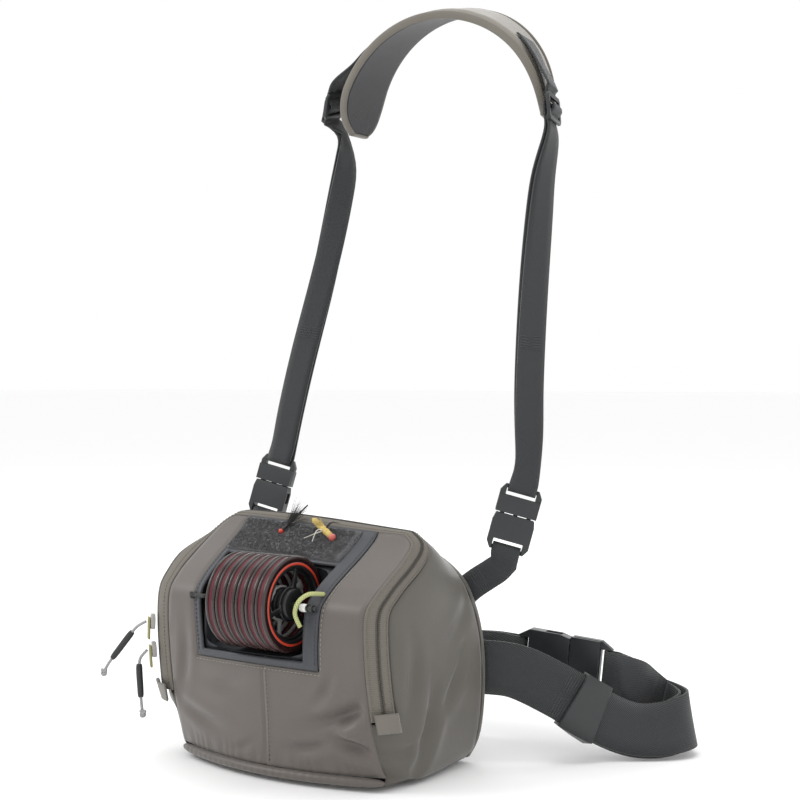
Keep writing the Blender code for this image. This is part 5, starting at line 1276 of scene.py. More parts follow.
    def build_teeth(self, loop: ThreeArrays, run: np.ndarray, middle: float) -> None:
        """The coil: two rows of short rounded teeth, half a pitch apart, that meet in the middle."""
        form = self.form
        spots = np.broadcast_to(middle + np.array([-0.5, 0.0, 0.5]) * self.coil_width, (len(loop[0]), 3))
        strip = form.side(loop, spots, 0.0019)
        out, line = form.grid_normals(strip)[run, 1], strip[run, 1]
        over = unit(strip[run, 2] - strip[run, 0])
        along = arc_length(line)
        pitch = 0.00125
        base = np.arange(pitch, along[-1] - pitch, pitch / 2)
        sign = np.where(np.arange(len(base)) % 2 == 0, 1.0, -1.0)[:, None]
        place, n, across = (read_along(v, along, base) for v in (line, out, over))
        n, across = unit(n), unit(across)
        ahead = unit(np.cross(across, n))
        verts, faces = capsule(0.0024, 0.00042, 8)
        verts = verts * np.array([1.0, 0.75, 0.8])
        frames = np.stack([across, ahead, np.cross(across, ahead)], 1)
        upside_down = np.sum(frames[:, 2] * n, 1)[:, None, None] < 0
        frames = np.where(upside_down, frames * np.array([1, -1, -1])[None, :, None], frames)
        place = place + across * sign * 0.0008 - n * 0.0004
        item = self.shop.scatter("zip_teeth", verts, faces, place, frames)
        self.shop.finish(item, Tint.COIL, nodes=["zip_coil"])

    def build_foot(self) -> None:
        """The rolled band under the front panel."""
        form = self.form
        _, depth, half, bow, _, _ = form.row(0.0)[0]
        share = np.linspace(-0.985, 0.985, 140)
        wave = 0.00018 * np.sin(share * 95)
        line = np.column_stack([
            form.shift + share * half,
            depth - bow * (1 - share**2) + wave,
            np.full(len(share), form.band / 2),
        ])
        ends = np.sqrt(np.clip(1 - np.abs(share / 0.99) ** 14, 0.05, 1))
        item = self.shop.tube("foot_roll", line + [0.0, 0.0, 0.0004], (form.band / 2 + 0.0004) * ends, 16)
        self.shop.finish(item, Tint.FRONT, nodes=["base_band"])

    def dress_nodes(self) -> None:
        """Smoothed copies of the well, the padded back and the zip's end covers."""
        for node, tint in (
            ("spool_well", Tint.WELL),
            ("back_panel", Tint.SIDE),
            ("zip_end_left", Tint.TAB),
            ("zip_end_right", Tint.TAB),
        ):
            self.shop.finish(self.shop.copy_of(node), tint, nodes=[node])


# Spools and cords


@dataclass
class LineSpool:
    """One spool of line: a pierced web with a hub, a printed ring and a clear keeper band."""

    shop: Workshop
    index: int
    radius: float = 0.0325
    ring: float = 0.0285
    web: float = 0.0240
    hub: float = 0.0105
    half: float = 0.00405
    bore: float = 0.0022
    spokes: int = 3
    nearest: bool = False

    def lathe(self, name: str, profile: Profile, tint: Tint, segments: int = 96) -> Piece:
        """A closed outline of (x, radius) turned about the spool's own axis."""
        outline = np.asarray(profile, float)
        angle = np.linspace(0, 2 * math.pi, segments, endpoint=False)
        centre = self.centre()
        around = np.stack([np.zeros(segments), np.cos(angle), np.sin(angle)], -1)
        path = np.broadcast_to(centre, (segments, 3)) + around * float(outline[:, 1].mean())
        shape = np.column_stack([outline[:, 0], outline[:, 1] - outline[:, 1].mean()])
        side = np.broadcast_to([1.0, 0.0, 0.0], (segments, 3))
        item = self.shop.sweep(name, path - FOOT, shape, side, around, ring=True)
        return self.shop.finish(item, tint, body=self.node, slot=self.node)

    @property
    def node(self) -> str:
        """The CAD node and body of this spool."""
        return f"spool_{self.index}"

    def centre(self) -> np.ndarray:
        """The middle of the spool in the frame."""
        low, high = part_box(self.node)
        return (np.array(low) + np.array(high)) / 2

    def build(self) -> None:
        """Makes the keeper, the winding, the ring, the spokes and the hub."""
        h, n = self.half, self.index
        groove, rim = h * 0.42, self.radius
        keeper = [
            (-h, self.ring), (-h, rim - 0.0012), (-h * 0.86, rim - 0.0002), (-groove - 0.0005, rim),
            (-groove, rim - 0.0005), (-groove, rim - 0.0014), (groove, rim - 0.0014), (groove, rim - 0.0005),
            (groove + 0.0005, rim), (h * 0.86, rim - 0.0002), (h, rim - 0.0012), (h, self.ring),
        ]
        first = self.lathe(f"spool_keeper_{n}", keeper, Tint.KEEPER)
        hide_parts(self.node)
        band = [(-groove + 0.0001, rim - 0.0020), (-groove + 0.0001, rim - 0.0009), (0, rim - 0.0007)]
        band += [(groove - 0.0001, rim - 0.0009), (groove - 0.0001, rim - 0.0020)]
        self.lathe(f"spool_line_{n}", band, Tint.LINE)
        web, edge = self.web, self.ring - 0.0002
        ring = [(-h * 0.97, web + 0.0004), (-h * 0.99, edge), (h * 0.99, edge)]
        ring += [(h * 0.97, web + 0.0004), (h * 0.80, web), (-h * 0.80, web)]
        # Spools behind the nearest get the ring's red in painted shade; the nearest has a black ring with the
        # red print on its outer face.
        self.lathe(f"spool_ring_{n}", ring, Tint.HUB if self.nearest else Tint.DARK_RING)
        if self.nearest:
            inner, outer = self.ring - 0.0024, self.ring - 0.0003
            mark = [(h * 0.90, inner), (h, inner + 0.0003), (h, outer - 0.0003), (h * 0.90, outer)]
            self.lathe(f"spool_mark_{n}", mark, Tint.RING)
        hub = [(-h * 0.96, self.bore + 0.0005), (-h, self.bore + 0.0012), (-h, self.hub - 0.0012)]
        hub += [(-h * 0.85, self.hub), (h * 0.85, self.hub), (h, self.hub - 0.0012), (h, self.bore + 0.0012)]
        hub += [(h * 0.96, self.bore + 0.0005), (h * 0.9, self.bore), (-h * 0.9, self.bore)]
        self.lathe(f"spool_hub_{n}", hub, Tint.HUB, 64)
        self.build_web()

    def build_web(self) -> None:
        """Spokes from hub to ring, each a bar that widens at both ends, and a thin rim inside the ring."""
        turn = 0.5 + self.index * 0.83
        share = np.linspace(0, 1, 12)
        reach = self.hub - 0.0004 + (self.web + 0.0003 - self.hub) * share
        narrow = 0.0016
        width = narrow + 0.0022 * (2 * share - 1) ** 4
        half = [(-1, -0.8), (-0.7, -1), (0.7, -1), (1, -0.8)]
        section = np.array(half + [(-x, -y) for x, y in half])
        # The spools behind the nearest get pale spokes and rims: painted light seen through the nearest
        # spool's windows.
        tint = Tint.HUB if self.nearest else Tint.WEB
        for k in range(self.spokes):
            angle = turn + k * 2 * math.pi / self.spokes
            ahead = np.array([0.0, math.cos(angle), math.sin(angle)])
            sideways = np.array([0.0, -math.sin(angle), math.cos(angle)])
            path = self.centre() - FOOT + ahead * reach[:, None]
            outline = section * np.array([1.0, 0.5])
            item = self.shop.sweep(
                f"spool_spoke_{self.index}_{k + 1}", path, outline * narrow,
                np.broadcast_to(sideways, path.shape), np.broadcast_to([1.0, 0, 0], path.shape),
                width / narrow,
            )
            self.shop.finish(item, tint, body=self.node, slot=self.node)
        self.flat_ring("spool_web_rim", self.web - 0.0018, self.web + 0.0003, tint)
        self.flat_ring("spool_web_boss", self.hub - 0.0003, self.hub + 0.0016, tint, 64)

    def flat_ring(self, name: str, low: float, high: float, tint: Tint, segments: int = 96) -> None:
        """A thin ring in the spool's middle plane, between two radii."""
        half = 0.0008
        outline = [(-half, low), (half, low), (half, high), (-half, high)]
        self.lathe(f"{name}_{self.index}", outline, tint, segments)


@dataclass
class SpoolRow:
    """Six spools on their cord, with its bead, toggle and loop."""

    shop: Workshop
    count: int = 6
    cord_radius: float = 0.0015
    cord_route: Tuple[Tuple[float, float, float], ...] = (
        # from the knot at the left over the frame, along the axle and out over the frame at the right
        (-0.06416, -0.06856, 0.117), (-0.05550, -0.06909, 0.117), (-0.05270, -0.06924, 0.117),
        (-0.04895, -0.06682, 0.117), (-0.03095, -0.06318, 0.117), (-0.02720, -0.06318, 0.117),
        (0.02440, -0.06318, 0.117), (0.02815, -0.06318, 0.117), (0.03225, -0.06897, 0.117),
        (0.03600, -0.07146, 0.117), (0.04100, -0.07146, 0.117), (0.04700, -0.07146, 0.117),
        (0.04870, -0.07146, 0.117),
    )
    loop_route: Tuple[Tuple[float, float, float], ...] = (
        # from its seat on the frame forward over the stops and round to its lower end
        (0.0480, -0.06166, 0.1255), (0.0440, -0.07246, 0.1265), (0.0390, -0.07746, 0.1215),
        (0.0370, -0.07846, 0.1135), (0.0390, -0.07546, 0.1050),
    )

    def build(self) -> None:
        """Makes the spools, the cord through them and what is on it."""
        for index in range(1, self.count + 1):
            LineSpool(self.shop, index, nearest=index == self.count).build()
        path = smooth_curve(self.cord_route, 8)
        cord = self.shop.tube("axle_cord", path, self.cord_radius * 0.98, 14)
        self.shop.finish(cord, Tint.AXLE, nodes=["spool_cord"])
        knot = self.knot(path[0] + np.array([0.0006, -0.0002, 0.0]), 0.0030, 0.0011)
        item = self.shop.tube("axle_knot", knot, 0.0010, 10, ring=True)
        self.shop.finish(item, Tint.HAIR, slot="spool_cord")
        for node, tint in (("cord_bead", Tint.WHITE), ("cord_toggle", Tint.PLASTIC)):
            skin = self.shop.copy_of(node, 2, sharp=75.0)
            self.shop.finish(skin, tint, nodes=[node])
        route = smooth_curve(self.loop_route, 2)
        line = smooth_curve(route, 6)
        loop = self.shop.tube("cord_loop", line, 0.00148, 14)
        self.shop.finish(loop, Tint.LIME, nodes=["bar_loop"])

    @staticmethod
    def knot(centre: np.ndarray, size: float, radius: float) -> np.ndarray:
        """A trefoil: (sin t + 2 sin 2t, -1.1 sin 3t, cos t - 2 cos 2t), scaled to the size."""
        t = np.linspace(0, 2 * math.pi, 72, endpoint=False)
        x, z = np.sin(t) + 2 * np.sin(2 * t), np.cos(t) - 2 * np.cos(2 * t)
        shape = np.column_stack([x, -1.1 * np.sin(3 * t), z])
        return centre + shape / 3.0 * (size - radius)


@dataclass
class ZipPulls:
    """Two sliders with rubber tabs, short grey cords, sleeves and end knots."""

    shop: Workshop
    cord_radius: float = 0.0011
    sleeve_radius: float = 0.0024
    routes: Tuple[Tuple[Tuple[float, float, float], ...], ...] = (
        # the two cords' points, from the tab down to the knot
        (
            (-0.11251, -0.06531, 0.09324), (-0.11851, -0.06831, 0.08924), (-0.12451, -0.07031, 0.08224),
            (-0.13251, -0.07231, 0.07224), (-0.14051, -0.07431, 0.06224), (-0.14351, -0.07531, 0.05724),
        ),
        (
            (-0.11283, -0.06372, 0.07243), (-0.11683, -0.06672, 0.06643), (-0.11683, -0.06772, 0.05843),
            (-0.11383, -0.06972, 0.04743), (-0.11083, -0.07172, 0.03643), (-0.10883, -0.07272, 0.03143),
        ),
    )

    def build(self) -> None:
        """Makes both pulls."""
        for number, route in enumerate(self.routes, 1):
            self.build_pull(number, smooth_curve(smooth_curve(route, 2), 6))

    def build_pull(self, number: int, line: np.ndarray) -> None:
        """Slider, tab, cord, sleeve and knot of one pull.

        Args:
            number: Which pull, from 1.
            line: The cord's centreline in the bag's own frame.
        """
        shop = self.shop
        slider = shop.copy_of(f"zip_slider_{number}", 0, bevel=0.0006)
        shop.finish(slider, Tint.STEEL, nodes=[f"zip_slider_{number}"])
        tab = shop.copy_of(f"pull_tab_{number}", 0, bevel=0.0006)
        shop.finish(tab, Tint.OLIVE, nodes=[f"pull_tab_{number}"])
        cord = shop.tube(f"grey_cord_{number}", line, self.cord_radius * 0.98, 12)
        shop.finish(cord, Tint.GREY_CORD, nodes=[f"pull_cord_{number}"])
        along = arc_length(line)
        start, end = along[-1] * 0.27, along[-1] * 0.80
        at = np.linspace(start, end, 40)
        share = (at - start) / (end - start)
        width = self.sleeve_radius * (1 - 0.22 * np.abs(2 * share - 1) ** 8) * (1 - 0.06 * share)
        sleeve = shop.tube(f"cord_sleeve_{number}", read_along(line, along, at), width, 18)
        shop.finish(sleeve, Tint.RUBBER, nodes=[f"pull_sleeve_{number}"])
        ahead = unit(line[-1] - line[-2])
        knot = SpoolRow.knot(line[-1] + ahead * 0.0026, 0.0034, 0.0012)
        item = shop.tube(f"end_knot_{number}", knot, 0.0011, 10, ring=True)
        shop.finish(item, Tint.GREY_CORD, nodes=[f"pull_knot_{number}"])


# Flies


@dataclass
class Flies:
    """Two flies hooked in the patch: a foam hopper with rubber legs, and a dark streamer."""

    shop: Workshop

    def axis(self, node: str) -> Tuple[np.ndarray, np.ndarray]:
        """The two ends of a CAD node's longest run, in the bag's own frame."""
        mesh = self.shop.frame["nodes"][node].data
        points = np.array([v.co for v in mesh.vertices], float) - FOOT
        middle = points.mean(axis=0)
        axis = np.linalg.svd(points - middle)[2][0]
        axis = axis if axis[0] < 0 else -axis
        reach = (points - middle) @ axis
        return middle + axis * reach.max(), middle + axis * reach.min()

    def build(self) -> None:
        """Makes both flies."""
        self.build_hopper()
        self.build_streamer()

    def build_hopper(self) -> None:
        """A foam body in soft segments, a pink head, a wing of hair, and bent barred legs."""
        tail, head = self.axis("fly_hopper")
        share = np.linspace(0, 1, 90)
        path = tail + (head - tail) * share[:, None]
        width = 0.0025 * np.sqrt(np.clip(1 - np.abs(2 * share - 1.02) ** 5, 0.05, 1))
        width *= 1 - 0.14 * np.abs(np.sin(share * math.pi * 7)) ** 6
        body = self.shop.tube("hopper_body", path, width, 16)
        self.shop.finish(body, Tint.FOAM, nodes=["fly_hopper"])
        ahead = unit(head - tail)
        item = self.ball("hopper_head", head - ahead * 0.0024, ahead * 0.0048, 0.0027, 16)
        self.shop.finish(item, Tint.PINK, slot="fly_hopper")
        side = unit(np.cross(ahead, [0.0, -0.4, 0.9]))
        up = np.cross(side, ahead)
        middle = tail + (head - tail) * 0.62
        legs = (
            (side * 0.006 + up * 0.003, side * 0.013 - up * 0.001 + ahead * 0.004, Tint.BARRED),
            (side * 0.007 + up * 0.001, side * 0.015 - up * 0.002 - ahead * 0.004, Tint.BARRED),
            (-side * 0.005 + up * 0.003, -side * 0.010 + up * 0.001 - ahead * 0.003, Tint.HAIR),
            (-side * 0.005 + up * 0.004, -side * 0.011 + up * 0.002 + ahead * 0.002, Tint.HAIR),
        )
        for number, (knee, foot, tint) in enumerate(legs, 1):
            route = smooth_curve([middle, middle + knee, middle + foot], 10)
            leg = self.shop.tube(f"hopper_leg_{number}", route, np.linspace(0.00042, 0.00026, len(route)), 8)
            self.shop.finish(leg, tint, slot="fly_hopper")
        self.hairs("hopper_wing", middle + up * 0.0015, -ahead, up, 0.011, 60, 0.18, Tint.FOAM, "fly_hopper")

    def build_streamer(self) -> None:
        """A slim dark body, a red bead, and a long tail of soft fibres."""
        tail, head = self.axis("fly_streamer")
        if head[1] > tail[1]:
            tail, head = head, tail
        share = np.linspace(0, 1, 60)
        path = tail + (head - tail) * share[:, None]
        width = 0.0015 * (0.35 + 0.65 * share) * (1 - 0.10 * np.abs(np.sin(share * 40)))
        body = self.shop.tube("streamer_body", path, width, 12)
        self.shop.finish(body, Tint.HAIR, nodes=["fly_streamer"])
        ahead = unit(head - tail)
        bead = self.ball("streamer_bead", head - ahead * 0.0018, ahead * 0.0034, 0.0019, 14)
        self.shop.finish(bead, Tint.RING, slot="fly_streamer")
        up = unit(np.cross(ahead, [1.0, 0.2, 0.0]))
        root = head - ahead * 0.004
        self.hairs("streamer_fibres", root, -ahead, up, 0.020, 150, 0.30, Tint.HAIR, "fly_streamer")

    def ball(self, name: str, start: np.ndarray, run: np.ndarray, radius: float, sides: int) -> Piece:
        """A ball: a tube from its start along its run, whose radius follows half a circle."""
        t = np.linspace(0, 1, sides)
        radii = radius * np.sqrt(np.clip(1 - (2 * t - 1) ** 2, 0.02, 1))
        return self.shop.tube(name, start + run * t[:, None], radii, sides)

    def hairs(
        self,
        name: str,
        root: np.ndarray,
        ahead: np.ndarray,
        up: np.ndarray,
        length: float,
        count: int,
        fan: float,
        tint: Tint,
        slot: str,
    ) -> None:
        """A tuft: curved hairs of three-sided section that fan out of one root.

        Args:
            name: The piece's name.
            root: Where the hairs start.
            ahead: The way they lie.
            up: The way that they curve.
            length: Their mean length.
            count: How many there are.
            fan: How far they spread, as a share of their length.
            tint: Their finish.
            slot: The record's material slot.
        """
        rng = np.random.default_rng(len(name) * 31)
        ahead, up = unit(ahead), unit(up - ahead * np.dot(up, ahead))
        side = np.cross(ahead, up)
        rings, sides = 6, 3
        steps = np.linspace(0, 1, rings)
        lean = rng.normal(0, fan, (count, 2))
        size = length * rng.uniform(0.55, 1.05, count)[:, None]
        out = side * lean[:, :1, None] + up * np.abs(lean[:, 1:, None])
        line = root + (ahead * steps[None, :, None] + out * (steps**1.3)[None, :, None]) * size[..., None]
        angle = np.linspace(0, 2 * math.pi, sides, endpoint=False)
        ring = side * np.cos(angle)[:, None] + up * np.sin(angle)[:, None]
        width = 0.00016 * (1 - 0.75 * steps)
        verts = (line[:, :, None] + ring[None, None] * width[None, :, None, None]).reshape(-1, 3)
        quads = np.array(ring_quads(rings, sides))
        last = (rings - 1) * sides
        caps = np.array([[0, 2, 1], [last, last + 1, last + 2]])
        shift = np.arange(count)[:, None, None] * rings * sides
        faces = (quads[None] + shift).reshape(-1, 4).tolist() + (caps[None] + shift).reshape(-1, 3).tolist()
        item = self.shop.mesh(name, verts + FOOT, faces)
        self.shop.finish(item, tint, slot=slot)


# Webbing and pad


class Run(Enum):
    """The webbing's routes in the frame: x, y, z and the direction across, at even steps."""

    LEFT = (
        (-0.0524, -0.0098, -0.0096, -0.40, 0.92, -0.04), (-0.0701, -0.0192, -0.0280, -0.37, 0.89, -0.27),
        (-0.0913, -0.0228, -0.0447, 0.00, 1.00, 0.03), (-0.1008, -0.0152, -0.0689, 0.06, 0.98, 0.16),
        (-0.0958, -0.0035, -0.0892, 0.22, 0.98, -0.03), (-0.0959, -0.0089, -0.1160, 0.42, 0.87, -0.24),
        (-0.0969, -0.0158, -0.1426, 0.58, 0.79, -0.22), (-0.0980, -0.0228, -0.1691, 0.70, 0.68, -0.22),
        (-0.0997, -0.0300, -0.1955, 0.78, 0.58, -0.22), (-0.1025, -0.0369, -0.2219, 0.84, 0.49, -0.23),
        (-0.1057, -0.0438, -0.2483, 0.88, 0.42, -0.21), (-0.1084, -0.0509, -0.2746, 0.92, 0.35, -0.17),
        (-0.1100, -0.0583, -0.3010, 0.94, 0.32, -0.13), (-0.1110, -0.0657, -0.3274, 0.95, 0.28, -0.09),
        (-0.1145, -0.0678, -0.3457, 0.95, 0.21, -0.24),
    )
    LEFT_ANCHOR = (
        (-0.1228, -0.0744, -0.3843, 0.95, 0.21, -0.24), (-0.1278, -0.0765, -0.3962, 0.98, 0.17, -0.12),
        (-0.1195, -0.0776, -0.4071, 0.73, 0.15, 0.67), (-0.1098, -0.0785, -0.4171, 0.71, 0.09, 0.70),
        (-0.1000, -0.0795, -0.4270, 0.72, 0.06, 0.70), (-0.0905, -0.0826, -0.4365, 0.71, -0.02, 0.71),
        (-0.0807, -0.0825, -0.4463, 0.71, 0.00, 0.71),
    )
    RIGHT = (
        (0.0704, -0.0016, -0.0244, 0.15, 0.96, -0.25), (0.0860, -0.0088, -0.0432, -0.06, 0.96, -0.29),
        (0.0997, -0.0126, -0.0645, -0.12, 0.97, -0.21), (0.1027, -0.0142, -0.0895, -0.22, 0.97, -0.08),
        (0.0962, -0.0134, -0.1125, 0.04, 1.00, -0.03), (0.0937, -0.0164, -0.1377, 0.29, 0.94, -0.16),
        (0.0943, -0.0217, -0.1626, 0.45, 0.87, -0.20), (0.0959, -0.0284, -0.1873, 0.54, 0.82, -0.19),
        (0.0979, -0.0354, -0.2118, 0.61, 0.78, -0.16), (0.1002, -0.0421, -0.2363, 0.66, 0.74, -0.14),
        (0.1028, -0.0488, -0.2609, 0.69, 0.72, -0.12), (0.1055, -0.0552, -0.2855, 0.71, 0.69, -0.09),
        (0.1081, -0.0601, -0.3104, 0.75, 0.66, -0.01), (0.1107, -0.0624, -0.3357, 0.82, 0.58, 0.01),
        (0.1069, -0.0664, -0.3603, 0.80, 0.53, -0.27),
    )
    RIGHT_ANCHOR = (
        (0.0986, -0.0733, -0.3988, 0.80, 0.53, -0.27), (0.0967, -0.0753, -0.4097, 0.81, 0.58, 0.14),
        (0.0905, -0.0770, -0.4177, 0.52, 0.26, -0.81), (0.0812, -0.0785, -0.4239, 0.53, 0.11, -0.84),
        (0.0722, -0.0806, -0.4304, 0.67, 0.04, -0.74), (0.0647, -0.0827, -0.4383, 0.71, -0.06, -0.71),
        (0.0567, -0.0825, -0.4463, 0.71, 0.00, -0.71),
    )
    BELT_RIGHT = (
        (0.0650, -0.0833, -0.4855, -0.01, 0.00, 1.00), (0.0886, -0.0826, -0.4856, 0.03, 0.01, 1.00),
        (0.1075, -0.0693, -0.4892, 0.28, 0.23, 0.93), (0.1236, -0.0554, -0.4998, 0.36, 0.32, 0.88),
        (0.1387, -0.0416, -0.5120, 0.34, 0.44, 0.83), (0.1517, -0.0258, -0.5241, 0.08, 0.50, 0.86),
        (0.1671, -0.0099, -0.5326, -0.15, 0.43, 0.89), (0.1861, 0.0040, -0.5316, -0.35, 0.15, 0.92),
        (0.1949, 0.0243, -0.5276, -0.19, -0.08, 0.98), (0.1789, 0.0404, -0.5264, 0.06, -0.14, 0.99),
        (0.1579, 0.0348, -0.5212, 0.29, 0.38, 0.88), (0.1521, 0.0165, -0.5074, 0.14, 0.58, 0.81),
        (0.1356, 0.0077, -0.5015, 0.10, 0.02, 0.99),
    )
    BELT_LEFT = (
        (0.0690, -0.0062, -0.4945, 0.10, 0.02, 0.99), (0.0347, -0.0106, -0.4934, -0.06, 0.00, 1.00),
        (-0.0007, -0.0127, -0.4950, -0.01, 0.00, 1.00), (-0.0354, -0.0199, -0.4941, 0.06, 0.02, 1.00),
        (-0.0693, -0.0298, -0.4915, 0.08, 0.02, 1.00), (-0.1029, -0.0409, -0.4884, 0.08, 0.03, 1.00),
        (-0.1348, -0.0556, -0.4853, 0.06, 0.05, 1.00), (-0.1200, -0.0802, -0.4855, 0.01, 0.00, 1.00),
        (-0.0850, -0.0839, -0.4855, 0.00, 0.00, 1.00),
    )

    def line(self, steps: int = 24) -> ThreeArrays:
        """The smooth centreline, the unit directions across it, and its length so far."""
        table = smooth_curve(self.value, steps)
        return table[:, :3], unit(table[:, 3:]), arc_length(table[:, :3])


@dataclass
class Webbings:
    """Shoulder straps, their anchors, the belt with its keeper, and the hard parts on them."""

    shop: Workshop
    strap_half: float = 0.010
    belt_half: float = 0.019

    def build(self) -> None:
        """Makes every strap, its stitching and its hardware."""
        straps = (
            ("strap_left", Run.LEFT, Tint.STRAP), ("strap_right", Run.RIGHT, Tint.STRAP),
            ("anchor_left", Run.LEFT_ANCHOR, Tint.STRAP), ("anchor_right", Run.RIGHT_ANCHOR, Tint.STRAP),
            ("belt_left", Run.BELT_LEFT, Tint.BELT), ("belt_right", Run.BELT_RIGHT, Tint.BELT),
        )
        for node, run, tint in straps:
            item = self.shop.copy_of(node, 2, sharp=50.0)
            self.lay_uv(item, run)
            self.shop.finish(item, tint, nodes=[node])
        keeper = self.shop.copy_of("belt_keeper", 2, sharp=60.0)
        self.shop.finish(keeper, Tint.SLEEVE, nodes=["belt_keeper"])
        for node in (
            "buckle_left_female", "buckle_left_male", "buckle_right_female", "buckle_right_male",
            "waist_buckle_female", "waist_buckle_male", "glide_left", "glide_right",
        ):
            item = self.shop.copy_of(node, 0, bevel=0.0007)
            self.shop.finish(item, Tint.PLASTIC, nodes=[node])
        self.build_tacks()

    def lay_uv(self, item: Piece, run: Run) -> None:
        """Gives each face corner its place across and along the route nearest to it.

        Args:
            item: The webbing.
            run: The route it follows.
        """
        centre, side, along = run.line()
        mesh = item.data
        points = np.empty(len(mesh.vertices) * 3)
        mesh.vertices.foreach_get("co", points)
        points = points.reshape(-1, 3)
        near = np.argmin(np.sum((points[:, None] - centre[None]) ** 2, -1), 1)
        offset = points - centre[near]
        tangent = unit(np.gradient(centre, axis=0))[near]
        across = np.sum(offset * side[near], 1)
        place = along[near] + np.sum(offset * tangent, 1)
        corner = np.empty(len(mesh.loops), int)
        mesh.loops.foreach_get("vertex_index", corner)
        layer = mesh.uv_layers.get("run") or mesh.uv_layers.new(name="run")
        layer.data.foreach_set("uv", np.column_stack([across, place])[corner].astype(np.float32).ravel())

    def tack(self, name: str, run: Run, node: str, place: float, length: float, half: float) -> None:
        """A boxed bar tack on the webbing: a zigzag across it between two long rows.

        Args:
            name: The piece's name.
            run: The webbing's route.
            node: The CAD node whose surface it lies on.
            place: Its middle, as a share of the route.
            length: How long it is along the webbing.
            half: Half of its width.
        """
        centre, side, along = run.line()
        share = np.linspace(0, 1, 41)
        zig = np.abs((share * 10) % 2 - 1) * 2 - 1
        at = along[-1] * place + (share - 0.5) * length
        spots = read_along(centre, along, at) + unit(read_along(side, along, at)) * (zig * half)[:, None]
        tree = BVHTree.FromObject(bpy.data.objects[f"{node}_skin"], bpy.context.evaluated_depsgraph_get())
        nudge = np.array([0.55, -0.83, 0.05]) * 0.05 * 0.08  # 4 mm towards the side that shows
        found = [tree.find_nearest(Vector(p + nudge)) for p in spots]
        path = np.array([list(f[0]) for f in found]) - FOOT
        out = np.array([list(f[1]) for f in found])
        self.shop.stitches(
            name, path, out, Tint.DARK_THREAD, pitch=0.0016, length=0.0019, radius=0.00030, slot=node
        )

    def build_tacks(self) -> None:
        """Bar tacks where webbing is folded and sewn."""
        tacks = (
            ("tack_left", Run.LEFT, "strap_left", 0.72, 0.010),
            ("tack_right", Run.RIGHT, "strap_right", 0.70, 0.010),
            ("tack_anchor_left", Run.LEFT_ANCHOR, "anchor_left", 0.80, 0.009),
            ("tack_anchor_right", Run.RIGHT_ANCHOR, "anchor_right", 0.55, 0.009),
        )
        for name, run, node, place, length in tacks:
            self.tack(name, run, node, place, length, self.strap_half * 0.75)
        self.tack("tack_belt_tail", Run.BELT_RIGHT, "belt_right", 0.30, 0.010, self.belt_half * 0.82)
        self.tack("tack_belt_left", Run.BELT_LEFT, "belt_left", 0.10, 0.010, self.belt_half * 0.82)


